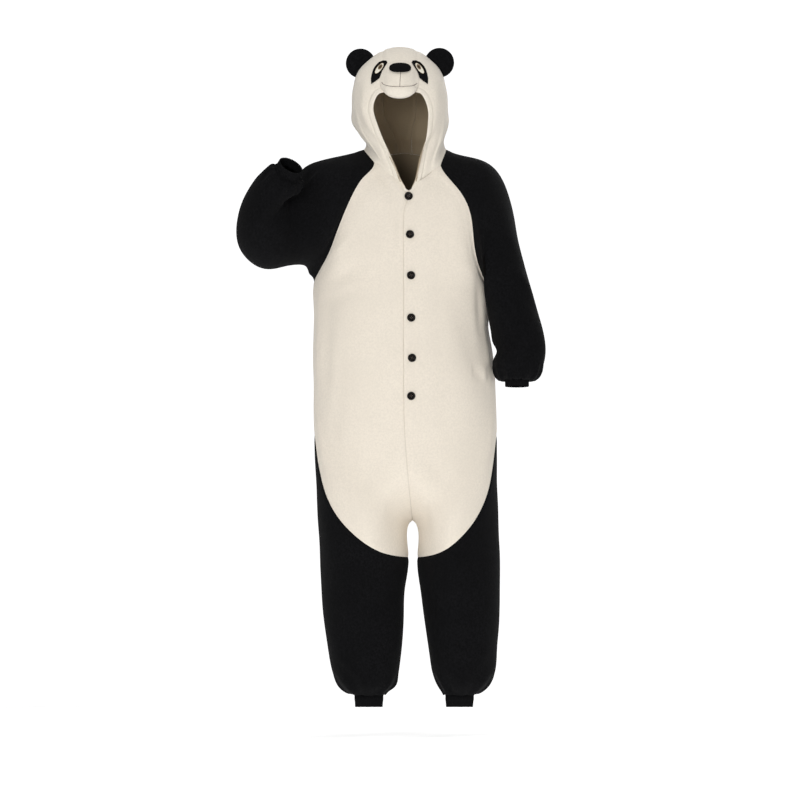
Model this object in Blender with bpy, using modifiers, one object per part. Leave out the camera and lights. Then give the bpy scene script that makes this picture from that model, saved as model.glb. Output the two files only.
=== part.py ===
"""Panda costume: a hooded one-piece suit of fleece, worn, with one arm raised and one hanging.

The whole suit is one smooth skin over a cage of rings. Each ring or section is a row of a table below, in
metres. The seams run along edges of the cage, so every sewn piece is a region of the skin, given its own
cloth wall. Z is up, the front faces -Y and the origin is between the shoulders, where the wearer carries it.
"right" and "left" are the wearer's, so right is at -X.
"""
import math

import bmesh
import bpy
from mathutils import Vector
from mathutils.bvhtree import BVHTree

COLLECTION = "panda_costume"

# Cloth
WALL = 0.0025
SEAM_GAP = 0.0005
CORNER_LIMIT = 0.25
APPLIQUE_GAP = 0.0009

# Grid of the cage, counted in cells
HALF_COLUMNS = 8
SIDE_COLUMN = 4
RAGLAN_ROWS = 5
SLEEVE_COLUMNS = 12
HOOD_COLUMNS = 9
HOOD_ROWS = 6
SMOOTH_LEVELS = 1
# The smooth surface is fitted to the tables' points: fully at border and regular points, told by how many
# points shape them, and partly where more or fewer than four cells meet.
FIT_ROUNDS = 10
BORDER_STENCIL = 3
REGULAR_STENCIL = 9
IRREGULAR_FIT = 0.3
SHARP_ANGLE = math.radians(40)

SIDES = ("right", "left")
SIGN = {"right": -1, "left": 1}

# Front opening: the line that the left front laps to, from the V of the neck to the last torso ring.
# Columns: x, y, z.
LAP_LINE = (
    (0.010, -0.130, -0.082),
    (0.000, -0.136, -0.127),
    (-0.003, -0.142, -0.180),
    (-0.003, -0.148, -0.236),
    (-0.003, -0.153, -0.292),
    (-0.003, -0.158, -0.350),
    (-0.003, -0.168, -0.470),
    (-0.003, -0.172, -0.600),
    (0.000, -0.168, -0.730),
    (0.009, -0.152, -0.850),
)
# Middle of the back over the same rings, from the nape down. Columns: x, y, z.
BACK_LINE = (
    (0.000, 0.108, 0.020),
    (0.000, 0.130, -0.050),
    (0.000, 0.142, -0.125),
    (0.000, 0.148, -0.200),
    (0.000, 0.152, -0.270),
    (0.000, 0.155, -0.340),
    (0.000, 0.158, -0.465),
    (0.000, 0.162, -0.600),
    (0.000, 0.162, -0.730),
    (0.004, 0.150, -0.850),
)
CROTCH = (0.020, 0.005, -0.957)
# How the neckline and the torso rings bend between the middle and the side
NECKLINE_CURVE = 1.6
TORSO_ROUNDNESS = 0.92

# Raglan seams from the neck down to the underarm. Columns: x, y, z.
FRONT_RAGLAN = {
    "right": (
        (-0.077, -0.092, -0.009),
        (-0.114, -0.112, -0.052),
        (-0.148, -0.118, -0.114),
        (-0.179, -0.108, -0.188),
        (-0.209, -0.077, -0.260),
        (-0.243, 0.000, -0.324),
    ),
    "left": (
        (0.091, -0.092, -0.016),
        (0.140, -0.112, -0.077),
        (0.172, -0.118, -0.143),
        (0.182, -0.112, -0.220),
        (0.200, -0.085, -0.297),
        (0.231, -0.008, -0.371),
    ),
}
BACK_RAGLAN = {
    "right": (
        (-0.078, 0.092, 0.012),
        (-0.122, 0.108, -0.040),
        (-0.160, 0.114, -0.105),
        (-0.190, 0.104, -0.180),
        (-0.215, 0.072, -0.255),
    ),
    "left": (
        (0.080, 0.092, 0.008),
        (0.125, 0.108, -0.052),
        (0.163, 0.114, -0.125),
        (0.192, 0.104, -0.205),
        (0.212, 0.072, -0.290),
    ),
}
# Top of the shoulder at the neck seam
NECK_SIDE = {"right": (-0.110, 0.002, 0.028), "left": (0.111, 0.002, 0.030)}

# Side seam at the torso rings under the underarm. Columns: x, z.
SIDE_LINE = {
    "right": ((-0.2425, -0.392), (-0.2425, -0.458), (-0.2430, -0.524), (-0.2425, -0.590)),
    "left": ((0.2210, -0.430), (0.2290, -0.487), (0.2360, -0.540), (0.2400, -0.592)),
}

# Leg rings from the crotch to the ankle. The inner and outer points are on the inseam and side seam.
# Columns: outer x, outer z, inner x, inner z, half depth, angles of columns 1 to 3.
LEG_RINGS = {
    "right": (
        (-0.2425, -0.660, 0.0200, -0.957, 0.152, (72, 108, 145)),
        (-0.2410, -0.726, 0.0095, -1.052, 0.146, (62, 102, 142)),
        (-0.2370, -0.830, 0.0010, -1.130, 0.136, (54, 96, 139)),
        (-0.2305, -0.960, -0.0030, -1.200, 0.126, (48, 92, 136)),
        (-0.2240, -1.090, -0.0060, -1.265, 0.116, (45, 90, 135)),
        (-0.2170, -1.200, -0.0120, -1.320, 0.107, (45, 90, 135)),
        (-0.2050, -1.290, -0.0170, -1.362, 0.098, (45, 90, 135)),
        (-0.1910, -1.360, -0.0265, -1.392, 0.086, (45, 90, 135)),
        (-0.1680, -1.400, -0.0440, -1.408, 0.067, (45, 90, 135)),
        (-0.1470, -1.414, -0.0500, -1.417, 0.051, (45, 90, 135)),
        (-0.1349, -1.417, -0.0559, -1.418, 0.0395, (45, 90, 135)),
        (-0.1314, -1.449, -0.0594, -1.449, 0.0360, (45, 90, 135)),
    ),
    "left": (
        (0.2420, -0.660, 0.0200, -0.957, 0.152, (72, 108, 145)),
        (0.2438, -0.726, 0.0330, -1.052, 0.146, (62, 102, 142)),
        (0.2438, -0.830, 0.0400, -1.130, 0.136, (54, 96, 139)),
        (0.2478, -0.960, 0.0490, -1.200, 0.126, (48, 92, 136)),
        (0.2518, -1.090, 0.0583, -1.265, 0.116, (45, 90, 135)),
        (0.2504, -1.200, 0.0663, -1.320, 0.107, (45, 90, 135)),
        (0.2450, -1.290, 0.0742, -1.362, 0.096, (45, 90, 135)),
        (0.2370, -1.360, 0.0888, -1.392, 0.083, (45, 90, 135)),
        (0.2125, -1.400, 0.0970, -1.408, 0.063, (45, 90, 135)),
        (0.1930, -1.414, 0.1010, -1.417, 0.049, (45, 90, 135)),
        (0.1829, -1.417, 0.1059, -1.418, 0.0385, (45, 90, 135)),
        (0.1794, -1.449, 0.1094, -1.449, 0.0350, (45, 90, 135)),
    ),
}
LEG_DEPTH_CENTRE = 0.004
ANKLE_SEAM_RING = 10
LOBE_RING = 1

# Sleeve rings from beside the armhole to the wrist. "inner" is the point in the crook of the elbow, or
# beside the body on the hanging arm, and "outer" the one across the sleeve from it.
# Columns: inner x, y, z, outer x, y, z, half width.
SLEEVE_RINGS = {
    "right": (
        (-0.200, -0.105, -0.040, -0.262, 0.080, -0.262, 0.144),
        (-0.254, -0.093, -0.084, -0.288, 0.068, -0.248, 0.114),
        (-0.303, -0.085, -0.112, -0.346, 0.052, -0.252, 0.100),
        (-0.3110, -0.091, -0.109, -0.398, 0.030, -0.264, 0.097),
        (-0.3140, -0.098, -0.104, -0.440, 0.000, -0.218, 0.093),
        (-0.3140, -0.105, -0.098, -0.443, -0.045, -0.150, 0.087),
        (-0.3080, -0.113, -0.092, -0.423, -0.085, -0.098, 0.078),
        (-0.2950, -0.123, -0.087, -0.394, -0.122, -0.054, 0.066),
        (-0.2780, -0.139, -0.084, -0.369, -0.141, -0.030, 0.054),
        (-0.2729, -0.1496, -0.0651, -0.3547, -0.1496, -0.0191, 0.047),
        (-0.2788, -0.1535, -0.0537, -0.3424, -0.1535, -0.0179, 0.0365),
        (-0.2714, -0.1650, -0.0340, -0.3306, -0.1650, -0.0006, 0.0335),
    ),
    "left": (
        (0.2335, -0.010, -0.392, 0.195, -0.005, 0.002, 0.128),
        (0.2315, -0.018, -0.410, 0.2465, -0.008, -0.037, 0.119),
        (0.2300, -0.028, -0.428, 0.273, -0.012, -0.106, 0.109),
        (0.2290, -0.038, -0.447, 0.297, -0.022, -0.205, 0.099),
        (0.2300, -0.048, -0.467, 0.3315, -0.035, -0.331, 0.089),
        (0.2345, -0.056, -0.487, 0.362, -0.045, -0.437, 0.080),
        (0.2425, -0.064, -0.508, 0.372, -0.055, -0.506, 0.073),
        (0.2320, -0.074, -0.535, 0.3665, -0.066, -0.543, 0.070),
        (0.2370, -0.077, -0.566, 0.3580, -0.072, -0.566, 0.060),
        (0.2490, -0.078, -0.584, 0.3430, -0.077, -0.584, 0.046),
        (0.2625, -0.078, -0.584, 0.3295, -0.078, -0.584, 0.0335),
        (0.2660, -0.078, -0.600, 0.3260, -0.078, -0.600, 0.0300),
    ),
}
# Angle round the sleeve, from its underside over the front, at which "inner" lies, in degrees
INNER_ANGLE = {"right": 140.0, "left": 0.0}
WRIST_SEAM_RING = 10
# Share of the way to the armhole's own line that the first ring goes at the underarm
ARMHOLE_FOLLOW = {"right": 1.0, "left": 0.0}

# Edge of the hood round the face, from the V up to the forehead. Columns: right x, left x, y, z.
FACE_EDGE = (
    (0.010, 0.010, -0.130, -0.082),
    (-0.037, 0.044, -0.124, 0.003),
    (-0.058, 0.056, -0.120, 0.054),
    (-0.077, 0.061, -0.116, 0.104),
    (-0.084, 0.059, -0.116, 0.138),
    (-0.076, 0.049, -0.124, 0.164),
    (-0.057, 0.031, -0.133, 0.177),
)
FACE_EDGE_TOP = (-0.014, -0.139, 0.180)
# Hood over the head: a rounded form with its widest ring at HOOD_WIDEST_Z
HOOD_CENTRE_X = -0.014
HOOD_WIDEST_Z = 0.135
HOOD_HALF_WIDTH = 0.128
HOOD_HALF_DEPTH = 0.143
HOOD_TOP_Z = 0.300
HOOD_ROUNDNESS = 2.3
HOOD_NECK_WIDTH = 0.108
HOOD_NECK_Z = 0.010
HOOD_NECK_DEPTH = 0.122
HOOD_NECK_TAPER = 1.5
HOOD_LEAST_BREADTH = 0.02
# In front of this depth the hood's front edge is under the face
HOOD_FRONT_Y = -0.030
EDGE_STEPS = 30
EDGE_STEP_UP = 0.002
EDGE_STEP_ACROSS = 0.01
# The centre panel runs from the forehead over the crown to the nape
GUSSET_HALF_WIDTH = 0.045
GUSSET_FACE_HALF_WIDTH = 0.041
GUSSET_NAPE_HALF_WIDTH = 0.022
GUSSET_WIDENING = 1.3
GUSSET_FACE_COLUMNS = 3
FOREHEAD_ANGLE = -76.0
CROWN_ANGLE = 48.0
OCCIPUT_ANGLE = 94.0
OCCIPUT_ROW = 4
NAPE_BULGE = 0.012
GUSSET_ROUNDING = 0.9

# Soft folds of the worn cloth: a trough or, with a minus sign, a ridge along a line.
# Columns: start x, y, z, end x, y, z, half width, depth.
FOLDS = (
    (-0.300, -0.110, -0.150, -0.225, -0.110, -0.075, 0.024, 0.006),
    (-0.255, -0.100, -0.240, -0.190, -0.120, -0.120, 0.028, -0.005),
    (-0.420, -0.060, -0.240, -0.350, -0.080, -0.180, 0.024, 0.005),
    (-0.300, 0.050, -0.270, -0.240, 0.080, -0.150, 0.028, 0.005),
    (0.270, -0.110, -0.330, 0.340, -0.080, -0.400, 0.026, 0.006),
    (0.260, -0.110, -0.430, 0.350, -0.090, -0.480, 0.024, -0.005),
    (0.250, 0.060, -0.300, 0.330, 0.040, -0.390, 0.028, 0.006),
    (-0.100, -0.130, -1.080, -0.190, -0.110, -1.180, 0.035, 0.006),
    (0.110, -0.130, -1.100, 0.200, -0.110, -1.210, 0.035, 0.006),
    (-0.060, 0.130, -0.900, -0.160, 0.120, -1.020, 0.040, 0.007),
    (0.080, 0.130, -0.900, 0.170, 0.120, -1.020, 0.040, 0.007),
)
# Share of a fold's depth left at the ends of its line
FOLD_END_SHARE = 0.35
# Gathers where a sleeve or leg is drawn onto its cuff.
# Columns: middle x, y, z of the seam, direction up the limb x, y, z, count, reach, depth.
GATHERS = (
    (-0.3106, -0.1535, -0.0358, -0.400, 0.480, -0.785, 12, 0.050, 0.0030),
    (0.2960, -0.0780, -0.5840, 0.000, 0.000, 1.000, 12, 0.050, 0.0030),
    (-0.0954, 0.0040, -1.4170, 0.000, 0.000, 1.000, 8, 0.060, 0.0035),
    (0.1444, 0.0040, -1.4170, 0.000, 0.000, 1.000, 8, 0.060, 0.0035),
)
GATHER_RADIUS = 0.12
GATHER_START = -0.004

# Front closing
LAP_RAISE = 0.0028
LAP_FULL_WIDTH = 0.052
LAP_FADE_WIDTH = 0.050
LAP_END_FADE = 0.10
STAND_TOP_Z = -0.100
STAND_END_Z = -0.690
STAND_WIDTH_SHARE = 0.84
BUTTON_SIDES = 16
BUTTON_RADIUS = 0.011
BUTTON_THICKNESS = 0.0032
BUTTON_RIM = 0.0009
BUTTON_LIFT = 0.0007
# Columns: x, z.
BUTTONS = (
    (0.0095, -0.098),
    (0.0130, -0.199),
    (0.0155, -0.307),
    (0.0160, -0.419),
    (0.0180, -0.525),
    (0.0160, -0.625),
)

# Face on the hood, measured in the front view. Half sizes are across and up, and tilt is in degrees.
MUZZLE = {
    "x": -0.0145,
    "z": 0.2110,
    "across": 0.0520,
    "up": 0.0510,
    "tilt": 0.0,
    "power": 2.25,
    "points": 20,
}
# Share by which the muzzle is narrower at its top
MUZZLE_NARROWING = 0.14
MUZZLE_RINGS = 4
MUZZLE_EDGE = 0.005
MUZZLE_RISE = 0.021
NOSE = {
    "x": -0.0130,
    "z": 0.2425,
    "across": 0.0290,
    "up": 0.0128,
    "tilt": 0.0,
    "power": 2.4,
    "points": 16,
}
NOSE_RINGS = 2
NOSE_EDGE = 0.003
NOSE_RISE = 0.008
EYE_WHITE = {
    "x": 0.0535,
    "z": 0.2410,
    "across": 0.0063,
    "up": 0.0172,
    "tilt": 38.0,
    "power": 2.0,
    "points": 12,
}
IRIS = {
    "x": 0.0510,
    "z": 0.2448,
    "across": 0.0043,
    "up": 0.0080,
    "tilt": 36.0,
    "power": 2.0,
    "points": 10,
}
PATCH_RINGS = 2
EYE_RINGS = 1
FACE_MIDDLE_X = -0.0145
# Outline of an eye patch, round the eye from its top over the inner side. Columns: x from the middle, z.
EYE_PATCH = (
    (0.0435, 0.2624),
    (0.0345, 0.2614),
    (0.0318, 0.2560),
    (0.0380, 0.2470),
    (0.0455, 0.2350),
    (0.0506, 0.2230),
    (0.0530, 0.2147),
    (0.0640, 0.2060),
    (0.0749, 0.1988),
    (0.0757, 0.2139),
    (0.0735, 0.2260),
    (0.0700, 0.2375),
    (0.0645, 0.2475),
    (0.0545, 0.2578),
)
FELT_THICKNESS = 0.0018
IRIS_THICKNESS = 0.0010
PATCH_GAP = 0.0005
CLEAR_ROUNDS = 4

# Ears: padded round forms whose root lies on the hood. Columns: x, y, z of the middle.
EAR_RADIUS = 0.0385
EAR_HALF_THICKNESS = 0.015
EAR_GAP = 0.0014
EAR_SEGMENTS = 16
EAR_RINGS = 10
EAR_PLACES = {"right": (-0.1177, -0.012, 0.2557), "left": (0.0911, -0.012, 0.2576)}

# Colours: red, green, blue, roughness
CREAM = (0.83, 0.76, 0.66, 0.95)
BLACK = (0.012, 0.012, 0.014, 0.95)
WHITE_FELT = (0.86, 0.84, 0.78, 0.9)
BROWN = (0.12, 0.06, 0.025, 0.6)
BUTTON_COLOUR = (0.03, 0.018, 0.013, 0.25)
PANEL_COLOURS = {
    "front_right": CREAM,
    "front_left": CREAM,
    "back": CREAM,
    "hood_right": CREAM,
    "hood_left": CREAM,
    "hood_centre": CREAM,
    "sleeve_right": BLACK,
    "sleeve_left": BLACK,
    "cuff_right": BLACK,
    "cuff_left": BLACK,
    "leg_right_front": BLACK,
    "leg_right_back": BLACK,
    "leg_left_front": BLACK,
    "leg_left_back": BLACK,
    "ankle_cuff_right": BLACK,
    "ankle_cuff_left": BLACK,
}


def lerp(a, b, share):
    return a + (b - a) * share


def smooth_step(share):
    share = min(1.0, max(0.0, share))
    return share * share * (3.0 - 2.0 * share)


class Cage:
    """Points that the finished skin passes through, and the four-sided cells between them."""

    def __init__(self):
        self.points = []
        self.cells = []
        self.panels = []

    def point(self, place):
        self.points.append(Vector(place))
        return len(self.points) - 1

    def line(self, places):
        return [self.point(place) for place in places]

    def strip(self, row_a, row_b, names, flip):
        """Cells between two rows of points. names is a panel's name, or a function of the column."""
        for column in range(len(row_a) - 1):
            cell = [row_a[column], row_a[column + 1], row_b[column + 1], row_b[column]]
            self.cells.append(cell if flip else cell[::-1])
            self.panels.append(names(column) if callable(names) else names)


def panel_rows(cage, middle_row, seam_row):
    """Rows of points between the middle line and a raglan seam. The first rows follow the neckline."""
    rows = []
    for index, (middle, seam) in enumerate(zip(middle_row, seam_row)):
        row = [middle]
        start = cage.points[middle]
        end = cage.points[seam]
        level = index / RAGLAN_ROWS
        for column in range(1, SIDE_COLUMN):
            share = column / SIDE_COLUMN
            turn = share * math.pi / 2
            across = lerp(share, math.sin(turn), level)
            back = lerp(share ** NECKLINE_CURVE, 1.0 - math.cos(turn), level)
            drop = lerp(share, 1.0 - math.cos(turn), level)
            place = (lerp(start.x, end.x, across), lerp(start.y, end.y, back), lerp(start.z, end.z, drop))
            row.append(cage.point(place))
        row.append(seam)
        rows.append(row)
    return rows


def torso_row(cage, front, back, side_place):
    """One half ring of the torso below the underarm, from the middle of the front to that of the back."""
    side_point = cage.point((side_place[0], 0.0, side_place[1]))
    row = [front]
    for column in range(1, HALF_COLUMNS):
        if column == SIDE_COLUMN:
            row.append(side_point)
            continue
        middle = cage.points[front] if column < SIDE_COLUMN else cage.points[back]
        turn = math.pi * column / HALF_COLUMNS
        across = math.sin(turn)
        x = lerp(middle.x, side_place[0], across)
        y = middle.y * abs(math.cos(turn)) ** TORSO_ROUNDNESS
        z = lerp(side_place[1], middle.z, math.sqrt(1.0 - across * across))
        row.append(cage.point((x, y, z)))
    row.append(back)
    return row


def leg_row(cage, ring, inner_point):
    """One ring of a leg, from the inseam round the front, the side and the back to the inseam again."""
    outer_x, outer_z, inner_x, inner_z, half_depth, turns = ring
    front = [0.0] + [math.radians(turn) for turn in turns]
    angles = front + [math.pi] + [math.tau - turn for turn in reversed(front[1:])]
    centre = (outer_x + inner_x) / 2
    half_width = (inner_x - outer_x) / 2
    row = [inner_point]
    for angle in angles[1:]:
        share = (1.0 - math.cos(angle)) / 2
        x = centre + half_width * math.cos(angle)
        y = LEG_DEPTH_CENTRE - half_depth * math.sin(angle)
        z = lerp(outer_z, inner_z, math.sqrt(max(0.0, 1.0 - share * share)))
        row.append(cage.point((x, y, z)))
    row.append(inner_point)
    return row


def sleeve_rows(cage, side, armhole):
    """Rings of a sleeve and its cuff. armhole is the closed loop that the first ring is sewn to."""
    rings = SLEEVE_RINGS[side]
    loop = [cage.points[index] for index in armhole[:-1]]
    centres = [sum(loop, Vector()) / len(loop)]
    centres += [(Vector(ring[0:3]) + Vector(ring[3:6])) / 2 for ring in rings]
    start = math.radians(INNER_ANGLE[side])
    rows = [armhole]
    for index, ring in enumerate(rings):
        inner = Vector(ring[0:3])
        outer = Vector(ring[3:6])
        half = (inner - outer) / 2
        if index >= WRIST_SEAM_RING - 2:
            along = Vector(centres[-1]) - Vector(centres[WRIST_SEAM_RING - 1])
        else:
            along = centres[index + 2] - centres[index]
        across = along.cross(half).normalized() * ring[6] * -SIGN[side]
        row = []
        for column in range(SLEEVE_COLUMNS):
            angle = math.tau * column / SLEEVE_COLUMNS - start
            row.append(cage.point(centres[index + 1] + half * math.cos(angle) + across * math.sin(angle)))
        rows.append(row + [row[0]])
    for column in range(SLEEVE_COLUMNS):
        low = ARMHOLE_FOLLOW[side] * (1.0 + math.cos(math.tau * column / SLEEVE_COLUMNS)) / 2
        between = (cage.points[armhole[column]] + cage.points[rows[2][column]]) / 2
        first = rows[1][column]
        cage.points[first] = cage.points[first].lerp(between, low)
    return rows


def hood_side_place(y, z, side):
    """Point of the hood's side over a place in the side view."""
    if z >= HOOD_WIDEST_Z:
        width = HOOD_HALF_WIDTH
        depth = HOOD_HALF_DEPTH
        rise = (z - HOOD_WIDEST_Z) / (HOOD_TOP_Z - HOOD_WIDEST_Z)
        centre = HOOD_CENTRE_X
    else:
        fall = (HOOD_WIDEST_Z - z) / (HOOD_WIDEST_Z - HOOD_NECK_Z)
        width = lerp(HOOD_HALF_WIDTH, HOOD_NECK_WIDTH, min(1.0, fall) ** HOOD_NECK_TAPER)
        depth = lerp(HOOD_HALF_DEPTH, HOOD_NECK_DEPTH, min(1.0, fall) ** HOOD_NECK_TAPER)
        rise = 0.0
        centre = lerp(HOOD_CENTRE_X, 0.0, smooth_step(fall))
    power = HOOD_ROUNDNESS
    rest = 1.0 - abs(y / depth) ** power - abs(rise) ** power
    breadth = width * max(rest, HOOD_LEAST_BREADTH) ** (1.0 / power)
    return Vector((centre + SIGN[side] * breadth, y, z))


def hood_ring_place(angle, half_width, side):
    """Point on the hood's centre profile, moved sideways to a seam of the centre panel."""
    turn = math.radians(angle)
    shrink = (1.0 - (half_width / HOOD_HALF_WIDTH) ** 2) ** 0.5
    y = HOOD_HALF_DEPTH * math.sin(turn) * shrink
    z = HOOD_WIDEST_Z + (HOOD_TOP_Z - HOOD_WIDEST_Z) * math.cos(turn) * shrink
    return Vector((HOOD_CENTRE_X + SIGN[side] * half_width, y, z))


def add_hood(cage, neck_rows, nape):
    """Side panels from the neck seam up, then the centre panel between their seams."""
    top_seams = {}
    for side in SIDES:
        neck = neck_rows[side]
        edge = [neck[0]]
        for right_x, left_x, y, z in FACE_EDGE[1:]:
            edge.append(cage.point((right_x if side == "right" else left_x, y, z)))
        top = [edge[-1]]
        for column in range(1, HOOD_COLUMNS + 1):
            angle = lerp(FOREHEAD_ANGLE, CROWN_ANGLE, column / HOOD_COLUMNS)
            spread = smooth_step(column / GUSSET_FACE_COLUMNS)
            half_width = lerp(GUSSET_FACE_HALF_WIDTH, GUSSET_HALF_WIDTH, spread)
            top.append(cage.point(hood_ring_place(angle, half_width, side)))
        nape_seam = cage.points[neck[-1]]
        back = [neck[-1]]
        for row in range(1, HOOD_ROWS):
            share = row / HOOD_ROWS
            spread = smooth_step(share * GUSSET_WIDENING)
            half_width = lerp(GUSSET_NAPE_HALF_WIDTH, GUSSET_HALF_WIDTH, spread)
            if row >= OCCIPUT_ROW:
                part = (HOOD_ROWS - row) / (HOOD_ROWS - OCCIPUT_ROW)
                place = hood_ring_place(lerp(CROWN_ANGLE, OCCIPUT_ANGLE, part), half_width, side)
            else:
                part = row / OCCIPUT_ROW
                place = nape_seam.lerp(hood_ring_place(OCCIPUT_ANGLE, half_width, side), part)
                place.y += NAPE_BULGE * math.sin(math.pi * part)
            back.append(cage.point(place))
        back.append(top[-1])
        rows = [neck]
        for row in range(1, HOOD_ROWS):
            v = row / HOOD_ROWS
            points = [edge[row]]
            for column in range(1, HOOD_COLUMNS):
                u = column / HOOD_COLUMNS
                flat = (
                    cage.points[edge[row]] * (1 - u)
                    + cage.points[back[row]] * u
                    + cage.points[neck[column]] * (1 - v)
                    + cage.points[top[column]] * v
                    - cage.points[neck[0]] * (1 - u) * (1 - v)
                    - cage.points[neck[-1]] * u * (1 - v)
                    - cage.points[top[0]] * (1 - u) * v
                    - cage.points[top[-1]] * u * v
                )
                points.append(cage.point(hood_side_place(flat.y, flat.z, side)))
            rows.append(points + [back[row]])
        rows.append(top)
        for lower, upper in zip(rows, rows[1:]):
            cage.strip(lower, upper, "hood_" + side, side == "left")
        top_seams[side] = top + back[-2::-1]
    middle = [cage.point(FACE_EDGE_TOP)]
    for column in range(1, HOOD_COLUMNS + 1):
        angle = lerp(FOREHEAD_ANGLE, CROWN_ANGLE, column / HOOD_COLUMNS)
        middle.append(cage.point(hood_ring_place(angle, 0.0, "left")))
    for row in range(HOOD_ROWS - 1, 0, -1):
        pair = [cage.points[top_seams[side][len(middle)]] for side in SIDES]
        centre = (pair[0] + pair[1]) / 2
        centre.y += (pair[1].x - pair[0].x) ** 2 * GUSSET_ROUNDING
        middle.append(cage.point(centre))
    middle.append(nape)
    for index in range(len(middle) - 1):
        ends = []
        for place in (index, index + 1):
            ends.append([top_seams["right"][place], middle[place], top_seams["left"][place]])
        cage.strip(ends[0], ends[1], "hood_centre", True)


def build_cage():
    cage = Cage()
    lap = cage.line(LAP_LINE)
    spine = cage.line(BACK_LINE)
    crotch = cage.point(CROTCH)
    neck_rows = {}
    for side in SIDES:
        flip = side == "left"
        front_seam = cage.line(FRONT_RAGLAN[side])
        back_seam = cage.line(BACK_RAGLAN[side]) + [front_seam[-1]]
        neck_side = cage.point(NECK_SIDE[side])
        top = RAGLAN_ROWS + 1
        fronts = panel_rows(cage, lap[:top], front_seam)
        backs = panel_rows(cage, spine[:top], back_seam)
        for index in range(RAGLAN_ROWS):
            cage.strip(fronts[index], fronts[index + 1], "front_" + side, not flip)
            cage.strip(backs[index], backs[index + 1], "back", flip)
        neck_rows[side] = fronts[0] + [neck_side] + backs[0][-1:0:-1]
        half = [fronts[-1] + backs[-1][-2::-1]]
        for index, place in enumerate(SIDE_LINE[side]):
            half.append(torso_row(cage, lap[top + index], spine[top + index], place))
        legs = LEG_RINGS[side]
        half.append(leg_row(cage, legs[0], crotch))
        for ring in legs[1:]:
            inner = cage.point((ring[2], LEG_DEPTH_CENTRE, ring[3]))
            half.append(leg_row(cage, ring, inner))
        first_leg = len(half) - len(legs)
        for index in range(len(half) - 1):
            if index < first_leg + LOBE_RING:
                names = [f"front_{side}", "back"]
            elif index < first_leg + ANKLE_SEAM_RING:
                names = [f"leg_{side}_front", f"leg_{side}_back"]
            else:
                names = [f"ankle_cuff_{side}"] * 2
            cage.strip(half[index], half[index + 1], lambda c, n=names: n[c >= SIDE_COLUMN], not flip)
        armhole = [front_seam[-1]] + front_seam[-2::-1] + [neck_side] + back_seam
        rows = sleeve_rows(cage, side, armhole)
        for index in range(len(rows) - 1):
            name = "sleeve_" if index < WRIST_SEAM_RING + 1 else "cuff_"
            cage.strip(rows[index], rows[index + 1], name + side, not flip)
    neck = {side: neck_rows[side][: HOOD_COLUMNS + 1] for side in SIDES}
    add_hood(cage, neck, spine[0])
    return cage


def limit_weights(mesh_count, cells):
    """For each point, the points and weights of its place on the smooth surface."""
    neighbours = [set() for _ in range(mesh_count)]
    opposite = [[] for _ in range(mesh_count)]
    edge_uses = {}
    for cell in cells:
        for index in range(4):
            a = cell[index]
            b = cell[(index + 1) % 4]
            neighbours[a].add(b)
            neighbours[b].add(a)
            opposite[a].append(cell[(index + 2) % 4])
            key = (min(a, b), max(a, b))
            edge_uses[key] = edge_uses.get(key, 0) + 1
    border = [[] for _ in range(mesh_count)]
    for (a, b), uses in edge_uses.items():
        if uses == 1:
            border[a].append(b)
            border[b].append(a)
    weights = []
    for index in range(mesh_count):
        if border[index]:
            weights.append([(index, 4 / 6)] + [(other, 1 / 6) for other in border[index]])
            continue
        valence = len(neighbours[index])
        total = valence * (valence + 5)
        row = [(index, valence * valence / total)]
        row += [(other, 4 / total) for other in neighbours[index]]
        row += [(other, 1 / total) for other in opposite[index]]
        weights.append(row)
    return weights


def fitted_points(cage):
    """Cage points moved out so that the smooth surface passes through the places in the tables."""
    weights = limit_weights(len(cage.points), cage.cells)
    places = [point.copy() for point in cage.points]
    for _ in range(FIT_ROUNDS):
        limits = []
        for row in weights:
            limit = Vector()
            for index, weight in row:
                limit += places[index] * weight
            limits.append(limit)
        for index, (goal, limit) in enumerate(zip(cage.points, limits)):
            regular = len(weights[index]) in (BORDER_STENCIL, REGULAR_STENCIL)
            places[index] += (goal - limit) * (1.0 if regular else IRREGULAR_FIT)
    return places


def fold_shift(place):
    """How far the folds move a point of the skin outward."""
    shift = 0.0
    for row in FOLDS:
        start = Vector(row[0:3])
        line = Vector(row[3:6]) - start
        share = min(1.0, max(0.0, (place - start).dot(line) / line.length_squared))
        distance = (place - start - line * share).length
        taper = lerp(FOLD_END_SHARE, 1.0, math.sin(math.pi * share))
        shift -= row[7] * taper * math.exp(-((distance / row[6]) ** 2))
    return shift


def gather_shift(place):
    """How far the gathers beside a cuff move a point of the skin outward."""
    shift = 0.0
    for row in GATHERS:
        along = Vector(row[3:6]).normalized()
        offset = place - Vector(row[0:3])
        height = offset.dot(along)
        offset -= along * height
        if offset.length > GATHER_RADIUS or not GATHER_START < height < row[7]:
            continue
        reference = Vector((1.0, 0.0, 0.0))
        reference = (reference - along * reference.dot(along)).normalized()
        angle = math.atan2(offset.dot(along.cross(reference)), offset.dot(reference))
        fade = math.sin(math.pi * min(1.0, (height - GATHER_START) / row[7]))
        shift += row[8] * fade * math.cos(row[6] * angle)
    return shift


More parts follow.
